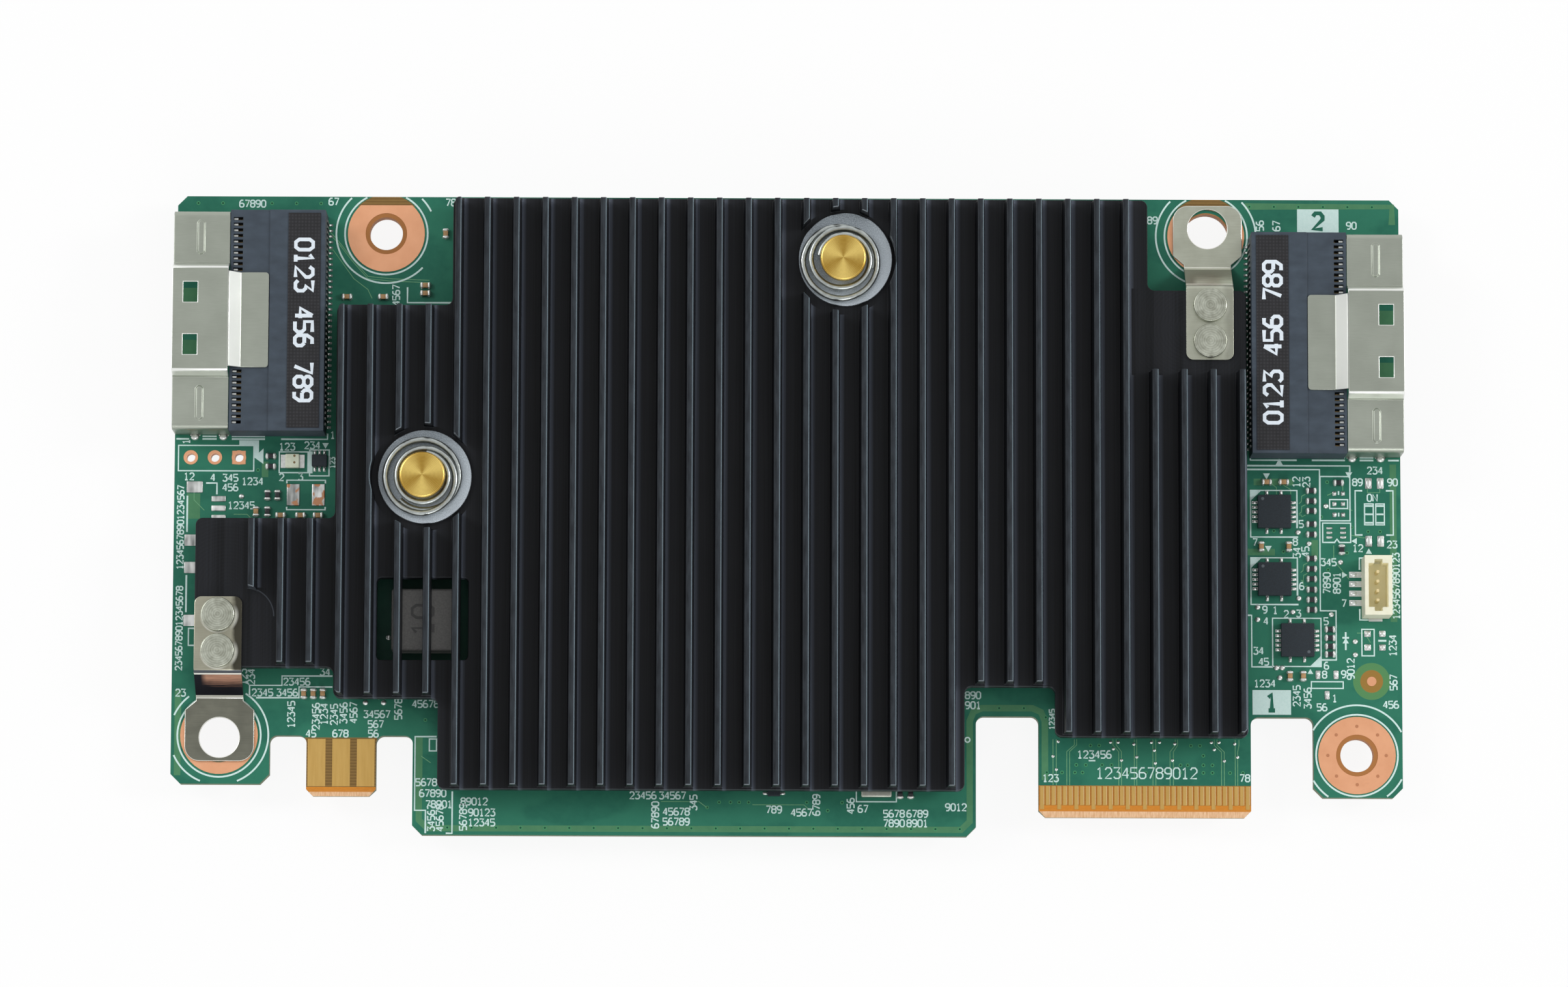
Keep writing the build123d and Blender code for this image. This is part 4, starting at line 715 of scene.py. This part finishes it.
rings = Recipe("rings", outer=0.00076, inner=0.00047, height=0.00004)
middle_line = (rings.given.out("outer") + rings.given.out("inner")) * 0.5
loop = rings.node("GeometryNodeCurvePrimitiveCircle", {}, {"Resolution": 32, "Radius": middle_line})
wall = rings.given.out("outer") - rings.given.out("inner")
section = rings.node("GeometryNodeCurvePrimitiveQuadrilateral", {}, {
    "Width": wall, "Height": rings.given.out("height")})
band = rings.sweep(loop, section, False, caps=False)
rings.close(rings.node("GeometryNodeInstanceOnPoints", {}, {"Points": rings.given, "Instance": band}))
row_piece = lay_out("hole_row_rings", [(x, y, BOARD_TOP + 0.02) for x, y in PLATED_HOLES])
settle(rings.apply(row_piece, copper), "bare_copper")
pad_x, pad_y = PLATED_HOLES[2]
half = 0.6
around = [(0, -1), (1, -1), (1, 1), (-1, 1), (-1, -1), (0, -1)]
square = [(pad_x + x * half, pad_y + y * half) for x, y in around]
lay_strips("hole_row_square", [square], BOARD_TOP + 0.018, copper, 0.3, 0.04, "bare_copper")
mark = arc_line(61.5, -19.7, 0.5, 0, 345, 23)
lay_plates("registration_mark", from_middle(mark), BOARD_TOP + 0.03, copper, "bare_copper")
pad_via = Finish("pad_via").coat(Base_Color=(184, 122, 84), Roughness=0.4)
pad_spots = [(x, y, BOARD_TOP + 0.045) for x, y in arc_line(119.55, -1.75, 3.07, 0, 315, 7)[0]]
lay_dots("pad_vias", pad_spots, pad_via, 0.18, 0.02, "bare_copper")

# Edge contacts: copper pads with a hard gold plating, three broad ones on the small tongue and a fine
# row on the large one, the fine ones each with a painted highlight line down one edge.
gold = grained("gold_plating", (4.0, 0.3, 1.0), 3.0, (196, 156, 84), (216, 178, 106), Metallic=0.8)
gold.coat(Roughness=0.3 + 0.2 * gold.grain((9.0, 0.6, 1.0)))
for tongue in ("signal", "power"):
    for face in ("top", "rear"):
        coat_node(tongue + "_edge_contacts_" + face, gold)
CONTACTS = 37
CONTACT_PITCH = 0.6
FIRST_EDGE = 86.64
# A painted highlight strip down one edge of each fine contact.
finger_highlight = Finish("rolled_contact_edge").coat(Base_Color=(236, 208, 158), Roughness=0.3, Metallic=0.6)
edges = [FIRST_EDGE + CONTACT_PITCH * i for i in range(CONTACTS)]
highlight_lines = [[(x, -5.1), (x, -7.0)] for x in edges]
lay_strips("contact_highlight_lines", highlight_lines, BOARD_TOP + 0.042, finger_highlight, 0.05, 0.012, "gold_plating")

# Heatsink: one black anodised aluminium extrusion. Its tapered fins run up the card and across the
# window in its base; the outline, the pockets round the pins and the ledges are milled.
WELD = 0.000002


def cad_form(node):
    """The shape of a CAD solid, with its doubled corners merged."""
    form = bmesh.new()
    form.from_mesh(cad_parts[node].data)
    bmesh.ops.remove_doubles(form, verts=form.verts, dist=WELD)
    return form


def dressed(node, width, finish, slot, segments=2, crease=35):
    """A copy of a CAD solid with its hard edges rounded over, shown in the solid's place."""
    form = cad_form(node)
    bmesh.ops.dissolve_limit(form, angle_limit=radians(1.0), verts=form.verts, edges=form.edges)
    hard = [
        edge for edge in form.edges
        if len(edge.link_faces) == 2 and edge.calc_face_angle() > radians(crease)
    ]
    bmesh.ops.bevel(form, geom=hard, offset=width / 1000, segments=segments, profile=0.5, affect="EDGES",
                    clamp_overlap=False)
    mesh = bpy.data.meshes.new(node + "_finished")
    form.to_mesh(mesh)
    form.free()
    mesh.materials.append(finish.material)
    mesh.shade_smooth()
    mesh.set_sharp_from_angle(angle=radians(crease))
    piece = placed(node + "_finished", mesh)
    flats = piece.modifiers.new("flat_faces_stay_flat", "WEIGHTED_NORMAL")
    flats.weight = 100
    flats.keep_sharp = True
    return settle(worked_in(piece), slot, node)


FIN_TOP = 8.07
FIN_PITCH = 3.05
PINS = [("left", 21.4, 26.8), ("right", 65.4, 49.9)]
anodised = Finish("black_anodised")
drawn = anodised.grain((9.0, 0.05, 9.0), 3.0)
streaks = drawn.ramp(0.3, 0.7)
rubbed = anodised.grain((3.0, 0.5, 3.0), 4.0)
upper_ledge = (95.8, 108.0, 38.0, 47.2)
milled = 0.0
for ledge, x, y in [((-2.6, 6.0, 6.7, 22.6), 1.0, 15.0), (upper_ledge, 102.0, 43.0)]:
    milled = anodised.within(*ledge) * anodised.around(x, y).ripple(17.0) | milled
milled = milled * (anodised.z < FIN_TOP - 1.2)
facing_x, facing_y = anodised.facing()[:2]
on_top = anodised.z > FIN_TOP - 0.16
across = (anodised.x - 3.6) % FIN_PITCH
plain = anodised.within(-2.6, 5.8, 6.7, 15.2) | anodised.within(*upper_ledge) | (anodised.x < 3.3)
for side, x, y in PINS:
    plain = (anodised.around(x, y) < 5.6) | plain
# A painted lit strip on the valley floor at the foot of each fin.
lit_foot = (across.ramp(0.46, 0.52) & (1.0 - across.ramp(0.6, 1.0))) * (1.0 - plain)
# A painted highlight along the cutter's arc on the lower ledge.
cutter_arc_highlight = (abs(anodised.around(2.85, 12.2) - 3.0) < 0.06) * anodised.within(3.2, 6.2, 12.2, 15.4)
# The fin tops painted lighter towards their right edge.
crown_light = ((across + 0.32) % FIN_PITCH).ramp(0.0, 0.64)
crown_light = anodised.mix(crown_light * 0.6 + rubbed.ramp(0.35, 0.65) * 0.4, (18, 20, 24), (58, 64, 70))
# A faint painted highlight along the base's front edge.
base_edge_highlight = (anodised.z < 5.3) * (anodised.z > 5.1) * 0.15
# The anodising's drawn streaks and mill rings under painted light and shade: the valley floor painted darker
# towards the next fin, and painted highlights on the fins' top edges and ends.
black = anodised.layers(
    anodised.mix(across.ramp(0.9, 2.5) | plain * 0.5, (33, 34, 38), (11, 12, 14)),
    (streaks * 0.35, (40, 44, 50)), (lit_foot * (0.5 + 0.5 * streaks), (90, 97, 110)),
    (milled * 0.03, (70, 74, 78)), (cutter_arc_highlight * 0.6, (84, 90, 98)), (on_top, crown_light),
    (on_top * (facing_x < -0.3) * 0.4, (50, 55, 60)), (on_top * (facing_x > 0.3), (104, 118, 126)),
    ((facing_y < -0.3) * (on_top | base_edge_highlight), (116, 124, 130)),
)
anodised.coat(
    Base_Color=black,
    Roughness=0.36 + 0.16 * anodised.grain(0.2, 3.0) + 0.1 * milled,
    Normal=anodised.bump(drawn * 0.6 + milled * 0.1, 0.2),
    Specular_IOR_Level=0.17,
)
dressed("heatsink", 0.09, anodised, "black_anodised")

# Under the heatsink: the controller in its lidded package with a grey heat pad, and the power supply.
# Only the inductor below the window is seen from above, a pressed iron block with rounded corners.
iron = grained("pressed_iron", 6.0, 4.0, (98, 98, 98), (140, 139, 136), Roughness=0.62)
iron.coat(Normal=iron.bump(iron.grain(14.0), 0.35))
dressed("window_inductor", 0.32, iron, "ferrite", 3)
dressed("power_inductors", 0.3, iron, "ferrite", 2)
stamp = Finish("dark_stamp").coat(Base_Color=(92, 92, 92), Roughness=0.7)
lay_strips("inductor_number", number("10", 21.4, 11.97, 2.2, 90), 4.275, stamp, 0.32, 0.02, "ferrite")
epoxy = grained("moulded_epoxy", 8.0, 3.0, (20, 27, 32), (40, 50, 58), Roughness=0.55)
epoxy.coat(Normal=epoxy.bump(epoxy.grain(20.0), 0.25), Specular_IOR_Level=0.35)
dressed("regulator_chips", 0.08, epoxy, "chip_black")
dressed("flash_memory_chip", 0.08, epoxy, "chip_black")
package = grained("package_laminate", 1.0, 2.0, (26, 84, 58), (34, 102, 70), Roughness=0.5)
coat_node("controller_substrate", package)
plated_lid = grained("plated_lid", (3.0, 0.4, 1.0), 2.0, (160, 160, 158), (190, 190, 188),
                     Roughness=0.38, Metallic=0.9)
dressed("controller_lid", 0.25, plated_lid, "nickel_sheet")
pad_grey = grained("heat_pad", 5.0, 2.0, (150, 152, 154), (176, 178, 180), Roughness=0.85)
coat_node("controller_heat_pad", pad_grey)
ceramic = grained("capacitor_ceramic", 4.0, 2.0, (158, 122, 82), (190, 152, 106), Roughness=0.6)
dressed("rear_capacitors", 0.05, ceramic, "capacitor_tan")

# Push pins: turned brass with a flat head and a split barb, each over a zinc plated washer on a spring
# wound from steel wire. They clip through the board and hold the heatsink down.
for side, x, y in PINS:
    brass = Finish(side + "_turned_brass")
    reach, outward_x, outward_y = brass.bearing(x, y)
    groove = reach.ripple(46.0)
    # Fine turned grooves under painted highlights: wedges round the head, lighter and darker by their angle
    # about the pin's axis.
    wedge_highlights = (3.0 * outward_y * outward_x * outward_x - outward_y * outward_y * outward_y).ramp(-1.0, 1.0)
    rings_and_painted_sheen = groove * 0.1 + wedge_highlights * 0.7 + brass.grain(2.0) * 0.2
    brass.coat(
        Base_Color=brass.mix(rings_and_painted_sheen, (166, 126, 42), (250, 220, 128)),
        Roughness=0.26 + 0.1 * groove,
        Metallic=0.95,
        Normal=brass.bump(groove, 0.1),
    )
    dressed(side + "_push_pin", 0.16, brass, "brass", 3)
    zinc = Finish(side + "_zinc_plating")
    frosted = zinc.grain(9.0, 3.0).ramp(0.3, 0.7)
    # The washer is painted lighter towards its lower right, painted light over the frosted plating.
    lower_right_light = ((zinc.x - x) - (zinc.y - y)).ramp(-3.0, 6.0)
    zinc.coat(
        Base_Color=zinc.mix(frosted * 0.4 + lower_right_light * 0.6, (112, 120, 126), (216, 226, 234)),
        Roughness=0.36 + 0.14 * frosted,
        Metallic=0.9,
        Normal=zinc.bump(frosted, 0.4),
    )
    dressed(side + "_pin_washer", 0.09, zinc, "zinc_steel", 3)

# Each spring's way round its pin, from the foot up: the angle, in degrees, and how far out the wire is.
SPRINGS = {
    "left": [(225, 3.4), (270, 3.45), (360, 3.8), (450, 3.95), (540, 3.98), (630, 3.85), (720, 3.4),
             (810, 2.95), (900, 2.75), (990, 2.75), (1080, 2.7), (1170, 2.4)],
    "right": [(346, 3.2), (400, 3.3), (450, 3.6), (540, 4.25), (630, 4.05), (720, 3.6), (810, 3.4),
              (900, 3.4), (990, 2.95), (1080, 2.85), (1170, 2.6), (1260, 2.5)],
}
wires = Recipe("wires", radius=0.00031, sides=12)
route = wires.node("GeometryNodeMeshToCurve", {}, {"Mesh": wires.given})
round_wire = wires.node("GeometryNodeCurvePrimitiveCircle", {}, {
    "Resolution": wires.given.out("sides"), "Radius": wires.given.out("radius")})
wires.close(wires.sweep(route, round_wire, True))
wire_steel = grained("spring_wire", 2.0, 2.0, (150, 156, 154), (204, 210, 208), Roughness=0.3, Metallic=0.95)
SPRING_FOOT = 6.06
SPRING_CLIMB = 1.2
for side, x, y in PINS:
    turns = []
    for (start, near), (end, far) in zip(SPRINGS[side], SPRINGS[side][1:]):
        steps = round((end - start) / 9)
        turns += [(start + (end - start) * i / steps, near + (far - near) * i / steps) for i in range(steps)]
    first = turns[0][0]
    climb = SPRING_CLIMB / (turns[-1][0] - first)
    wire = []
    for angle, far in turns:
        turn = radians(angle)
        wire.append((x + far * cos(turn), y + far * sin(turn), SPRING_FOOT + climb * (angle - first)))
    spring = lay_out(side + "_spring", wire, [(i, i + 1) for i in range(len(wire) - 1)])
    settle(wires.apply(spring, wire_steel), "spring_steel", side + "_pin_spring")

# Grounding lugs: stamped and bent from nickel plated sheet, riveted to the milled ledges. Their ring
# ends lie on the bare copper round two of the holes. The rivet heads are turned.
# Each lug's plate, ramp and strip tones, where its rivets stand and how strong its painted light is. The
# lower left lug's plate tones are darker, painted shade, and its ramp tones run from dark up to a brown
# painted reflection.
LUGS = [
    ("lower_left", ((96, 97, 88), (140, 140, 126)), ((30, 32, 40), (196, 150, 126)),
     ((150, 148, 130), (190, 188, 170)), [(0.05, 8.5), (0.05, 12.31)], 1.0),
    ("upper_right", ((163, 164, 147), (202, 207, 192)), ((150, 151, 140), (202, 207, 192)),
     ((163, 164, 147), (202, 207, 192)), [(104.05, 45.35), (104.05, 41.54)], 0.25),
]
for corner, plate_tones, ramp_reflection_tones, strip_tones, rivet_spots, light_paint_strength in LUGS:
    sheet = Finish(corner + "_nickel_sheet")
    rivet_x = rivet_spots[0][0]
    rolled = sheet.grain((0.5, 9.0, 2.0), 3.0)
    stain = sheet.grain(0.6, 4.0)
    worn = rolled * 0.4 + stain * 0.6
    # The ramp's painted reflection, dark below and brown above, and darker towards its left side.
    ramp_reflection = (sheet.z.ramp(2.6, 4.6) - 0.5 + rolled * 0.7).ramp(0.25, 0.9)
    ramp_reflection = ramp_reflection * (sheet.x - rivet_x).ramp(-1.8, -1.2)
    on_strip = (sheet.z > 5.3) * light_paint_strength
    # A painted dark reflection on the strip to the right of the rivets.
    dark_reflection_beside = (sheet.x - rivet_x + stain - 0.5).ramp(1.3, 1.8)
    tones = sheet.layers(
        sheet.mix(worn, *plate_tones), (sheet.z > 2.3, sheet.mix(ramp_reflection, *ramp_reflection_tones)),
        (sheet.z > 5.0, sheet.mix(worn, *strip_tones)), (on_strip * dark_reflection_beside, (74, 72, 62)),
    )
    for x, y in rivet_spots:
        reach, outward_x, outward_y = sheet.bearing(x, y)
        # Painted highlights on the sheet round each rivet, at its lower left and to its right.
        lower = (-0.35 * outward_x - 0.94 * outward_y).ramp(0.35, 0.95) * (1.98 - reach).ramp(0.0, 0.14)
        right_rim_highlight = (0.98 * outward_x - 0.2 * outward_y).ramp(0.72, 0.98) * (2.2 - reach).ramp(0.0, 0.3)
        tones = sheet.mix(on_strip * (lower | right_rim_highlight) * 0.85, tones, (236, 236, 226))
    tilt = sheet.facing()[2]
    # Painted shade along the upper fold, and painted highlights on the rounded rims and the fold's lower
    # edge.
    upper_fold = (sheet.z > 5.0) * (sheet.z < 5.5) * (tilt < 0.985)
    rim_highlights = (tilt < 0.93) * (tilt > 0.3) * (sheet.z < 2.3) | upper_fold * (sheet.z < 5.2)
    sheet.coat(
        Base_Color=sheet.layers(tones, (upper_fold * light_paint_strength, (84, 88, 94)), (rim_highlights, (232, 232, 224))),
        Roughness=0.24 + 0.2 * stain,
        Metallic=0.92,
        Normal=sheet.bump(rolled, 0.2),
    )
    dressed(corner + "_grounding_lug", 0.07, sheet, "nickel_sheet", 2, 30)
    rivet = Finish(corner + "_rivet")
    turning = (rivet.around(*rivet_spots[0]) & rivet.around(*rivet_spots[1])).ripple(26.0)
    dull = rivet.grain(1.6, 4.0).ramp(0.3, 0.7)
    rivet.coat(
        Base_Color=rivet.mix(dull * 0.75 + turning * 0.25, (146, 148, 134), (198, 202, 188)),
        Roughness=0.3 + 0.1 * turning,
        Metallic=0.9,
        Normal=rivet.bump(turning * 0.3 + dull * 0.5, 0.1),
    )
    dressed(corner + "_lug_rivets", 0.16, rivet, "zinc_steel", 3)

# Cable receptacles: a folded nickel plated shell over a slate coloured moulding with two rows of gold
# contacts. Its tails are soldered in a fine row behind it, and a dark label lies on its back. What is
# laid on it is placed by how far in it lies from the card's short edge.
slate = Finish("slate_moulding")
flow = slate.grain((0.5, 0.9, 0.5), 5.0)
slate.coat(
    Base_Color=slate.mix(flow, (38, 46, 56), (70, 82, 94)),
    Roughness=0.5 + 0.15 * flow,
    Normal=slate.bump(slate.grain(12.0), 0.2),
    Specular_IOR_Level=0.35,
)
film = Finish("label_film")
dotted = film.x.ripple(18.0) * film.y.ripple(18.0)
film.coat(
    Base_Color=film.mix(dotted * 0.6 + film.grain(2.0) * 0.4, (20, 20, 22), (54, 54, 58)),
    Roughness=0.6,
    Specular_IOR_Level=0.3,
)
label_ink = grained("label_ink", 6.0, 2.0, (206, 218, 230), (232, 240, 246), Roughness=0.6)
nickel = Finish("nickel_shell")
roll = nickel.grain((0.8, 9.0, 2.0), 3.0)
bloom = nickel.grain(0.25, 4.0)
tilt = nickel.facing()[2]
# Painted highlights on the shell's sloping folds.
lit_folds = (nickel.z > 6.3) * (tilt < 0.985) * (tilt > 0.05)
nickel_tone = nickel.mix(roll * 0.35 + bloom * 0.65, (148, 153, 142), (178, 184, 173))
nickel.coat(
    Base_Color=nickel.mix(lit_folds * 0.85, nickel_tone, (244, 246, 242)),
    Roughness=0.3 + 0.14 * bloom,
    Metallic=0.9,
    Normal=nickel.bump(roll, 0.08),
)
tin = grained("tinned_leads", 4.0, 3.0, (190, 194, 190), (240, 242, 240), Metallic=0.85)
tin.coat(
    Roughness=0.22 + 0.2 * tin.grain(7.0),
    Normal=tin.bump(tin.grain(6.0), 0.3),
)
contact_metal = Finish("receptacle_contacts")
# The mating ends are gold. The tin tails behind them are painted dark grey, as shade under the shell.
behind = abs(contact_metal.x - MIDDLE_X) < 48.9
contact_metal.coat(
    Base_Color=contact_metal.mix(behind, (206, 172, 108), (120, 124, 122)),
    Roughness=0.28 + 0.2 * contact_metal.grain(7.0),
    Metallic=0.85,
)
TAILS_IN = 16.1
TIPS_IN = 6.5
TABS_IN = (2.1, 5.1)
TABS_DOWN = {"left": 11.85, "right": 11.78}
LABEL_IN = 13.75
LABEL_TOP = 6.26
TIP_TOP = 5.62


def scatter(title, kind, sizes, smooth):
    """A recipe that sets a small solid on each point, drawn out to the point's own size."""
    recipe = Recipe(title)
    solid = recipe.node(kind, {}, sizes)
    solid = recipe.node("GeometryNodeSetShadeSmooth", {}, {0: solid, "Shade Smooth": smooth})
    size = recipe.node("GeometryNodeInputNamedAttribute", {"data_type": "FLOAT_VECTOR"}, {"Name": "size"})
    recipe.close(recipe.node("GeometryNodeInstanceOnPoints", {}, {
        "Points": recipe.given, "Instance": solid, "Scale": size}))
    return recipe


blocks = scatter("blocks", "GeometryNodeMeshCube", {"Size": (1.0, 1.0, 1.0)}, False)
drops = scatter("drops", "GeometryNodeMeshIcoSphere", {"Radius": 0.5, "Subdivisions": 3}, True)


def lay_sized(recipe, title, rows, finish, slot):
    """Many small pieces of one recipe from middle and size, in millimetres."""
    piece = lay_out(title, [middle for middle, size in rows])
    sizes = piece.data.attributes.new("size", "FLOAT_VECTOR", "POINT")
    for i, (middle, size) in enumerate(rows):
        sizes.data[i].vector = [value / 1000 for value in size]
    return settle(recipe.apply(piece, finish), slot)


for side, edge, way, middle in RECEPTACLES:
    name = side + "_receptacle_"
    edge += MIDDLE_X
    y = middle + MIDDLE_Y
    dressed(name + "shell", 0.07, nickel, "nickel_sheet", 2, 30)
    dressed(name + "housing", 0.05, slate, "slate_plastic", 2)
    coat_node(name + "upper_contacts", contact_metal)
    coat_node(name + "lower_contacts", contact_metal)
    coat_node(name + "label", film)
    row = [y + CONTACT_PITCH * (k - 18) for k in range(CONTACTS)]
    joints = [((edge + way * TAILS_IN, at, BOARD_TOP + 0.05), (0.46, 0.3, 0.4)) for at in row]
    joints += [((edge + way * depth, y - TABS_DOWN[side], BOARD_TOP), (0.9, 0.72, 0.6)) for depth in TABS_IN]
    tips = [((edge + way * TIPS_IN, at, TIP_TOP), (0.42, 0.17, 0.1)) for at in row[:10] + row[27:]]
    lay_sized(drops, name + "solder", joints, tin, "tin")
    lay_sized(blocks, name + "contact_tips", tips, tin, "tin")
    ways = number("0123 456 789", edge + way * LABEL_IN, y, 1.82, -90 * way)
    lay_strips(name + "label_numbers", ways, LABEL_TOP, label_ink, 0.4, 0.02, "label_film")

# Debug header: a cream shroud with four posts, soldered down on its side leads.
cream = Finish("cream_moulding")
clouding = cream.grain(1.5, 4.0)
# Inside the cavity the cream is painted lighter than the rest, a painted fill light against the shade down in
# it.
lit_cavity = cream.within(120.5, 122.7, 13.3, 18.4) * (cream.z < 5.4)
cream_tone = cream.layers(
    cream.mix(clouding, (226, 222, 194), (242, 242, 222)),
    (lit_cavity, cream.mix(clouding, (255, 246, 206), (255, 252, 226))),
)
cream.coat(
    Base_Color=cream_tone,
    Roughness=0.5,
    Normal=cream.bump(cream.grain(12.0), 0.1),
)
dressed("debug_header_shroud", 0.06, cream, "cream_plastic")
post = Finish("header_posts")
inside = (post.x > 120.4) * (post.z > 2.2)
post.coat(
    Base_Color=post.mix(inside, (206, 208, 206), (236, 218, 170)),
    Roughness=0.28 + 0.15 * post.grain(5.0),
    Metallic=0.3,
)
dressed("debug_header_contacts", 0.03, post, "tin")
HEADER_LEADS = [15.85 + k for k in (-1.5, -0.5, 0.5, 1.5)]
lands = [((119.6, y, BOARD_TOP), (1.5, 0.62, 0.1)) for y in HEADER_LEADS]
lay_sized(blocks, "debug_header_lands", lands, tin, "tin")
joints = [((119.35, y, BOARD_TOP), (0.9, 0.5, 0.44)) for y in HEADER_LEADS]
lay_sized(drops, "debug_header_solder", joints, tin, "tin")

# Driver chips: three leadless packages of black epoxy with a dimple at pin 1, soldered by the pins
# round their edge.


def puddles(title, node, grow, height):
    """Solder drawn up round each small solid of a node: one drop over each that is short enough."""
    form = cad_form(node)
    rows = []
    waiting = set(form.verts)
    while waiting:
        solid = [waiting.pop()]
        for vert in solid:
            for edge in vert.link_edges:
                other = edge.other_vert(vert)
                if other in waiting:
                    waiting.discard(other)
                    solid.append(other)
        spots = [vert.co * 1000 for vert in solid]
        low = [min(spot[i] for spot in spots) for i in range(3)]
        high = [max(spot[i] for spot in spots) for i in range(3)]
        middle = ((low[0] + high[0]) / 2, (low[1] + high[1]) / 2, BOARD_TOP)
        if max(high[0] - low[0], high[1] - low[1]) < 1.25:
            rows.append((middle, (high[0] - low[0] + grow, high[1] - low[1] + grow, 2 * height)))
    form.free()
    return lay_sized(drops, title, sorted(rows), tin, "tin")


dressed("driver_chips", 0.05, epoxy, "chip_black")
coat_node("driver_chip_pins", tin)
puddles("driver_chip_solder", "driver_chip_pins", 0.06, 0.15)
dimple = Finish("chip_dimple").coat(Base_Color=(84, 92, 98), Roughness=0.4)
dimple_spots = [(109.72, 25.3, 2.421), (109.72, 18.15, 2.421), (114.5, 9.1, 2.421)]
lay_dots("chip_dimples", dimple_spots, dimple, 0.17, 0.006, "chip_black")

# Chip resistors and ceramic capacitors: a small body between two tinned ends, with a shiny fillet of
# solder run up each end.
glaze = grained("resistor_glaze", 5.0, 2.0, (20, 22, 26), (38, 40, 46), Roughness=0.3)
dressed("chip_resistors", 0.03, glaze, "resistor_black")
dressed("ceramic_capacitors", 0.04, ceramic, "capacitor_tan")
dressed("resistor_terminals", 0.05, tin, "tin")
dressed("capacitor_terminals", 0.06, tin, "tin")
puddles("resistor_solder", "resistor_terminals", 0.24, 0.3)
puddles("capacitor_solder", "capacitor_terminals", 0.24, 0.34)

# The indicator, its small driver chip, the supervisor chip and the crystal, with the tinned lands and
# test points of parts that this card leaves out.
lens = grained("indicator_lens", 3.0, 2.0, (206, 214, 186), (236, 240, 222), Roughness=0.3)
dressed("status_led", 0.12, lens, "led_body")
lens_top = max(vert.co.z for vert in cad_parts["status_led"].data.vertices) * 1000
die = Finish("indicator_die").coat(Base_Color=(128, 104, 62), Roughness=0.4)
dice_spots = [(7.62, 29.52, lens_top), (7.62, 28.82, lens_top)]
lay_dots("indicator_dice", dice_spots, die, 0.13, 0.016, "led_body")
dressed("led_driver_chip", 0.06, epoxy, "chip_black")
dressed("supervisor_chip", 0.06, epoxy, "chip_black")
coat_node("status_led_pins", tin)
for node in ["led_driver_chip_pins", "supervisor_chip_pins"]:
    coat_node(node, tin)
    puddles(node.replace("pins", "solder"), node, 0.08, 0.16)
can = grained("crystal_can", 3.0, 2.0, (170, 172, 160), (204, 206, 196), Roughness=0.35, Metallic=0.85)
dressed("crystal_can", 0.15, can, "zinc_steel", 3)
bare_land = Finish("half_tinned_copper")
tinned = bare_land.mix(
    bare_land.grain((1.6, 0.6, 4.0), 1.0).ramp(0.3, 0.7), (140, 144, 142), (240, 242, 240))
half_bare = bare_land.within(6.6, 11.2, 23.8, 27.2) * bare_land.grain((1.1, 0.7, 1.0), 3.0).ramp(0.56, 0.6)
bare_land.coat(
    Base_Color=bare_land.mix(half_bare, tinned, (190, 138, 104)),
    Roughness=0.3,
    Metallic=0.85,
    Normal=bare_land.bump(bare_land.grain((0.5, 7.0, 1.0)), 0.3),
)
dressed("tinned_lands", 0.06, bare_land, "tin", 3)
puddles("land_solder", "tinned_lands", -0.08, 0.17)
broad_points = [
    (56.8, -1.15), (53.85, -3.95), (55.0, -5.15), (58.3, -7.1), (53.9, -10.95), (49.55, -11.9),
    (49.55, -13.2), (53.25, -12.4), (57.3, -12.65), (51.85, -19.35), (51.5, -18.3), (52.1, -18.3),
    (59.8, -15.5), (59.8, -16.9), (-57.6, -0.5), (-62.65, 5.75), (-59.6, 5.8), (-44.3, -22.3),
    (-42.4, -22.3), (-41.95, -15.4),
]
fine_points = [
    (27.95, -27.7), (28.3, -29.1), (28.5, -26.15), (34.0, -26.2), (34.8, -26.2), (34.3, -26.9),
    (35.15, -28.1), (36.45, -26.4), (36.75, -27.75), (38.3, -26.2), (39.15, -26.2), (38.6, -27.05),
    (38.7, -28.4), (40.75, -26.35), (40.5, -28.1), (44.6, -26.2), (45.4, -26.2), (44.9, -26.95),
    (45.95, -28.15), (47.05, -26.35), (47.35, -27.75),
]
test_points = []
for spots, size in [(broad_points, (0.6, 0.56, 0.42)), (fine_points, (0.36, 0.34, 0.22))]:
    test_points += [((x + MIDDLE_X, y + MIDDLE_Y, BOARD_TOP), size) for x, y in spots]
lay_sized(drops, "test_points", test_points, tin, "tin")
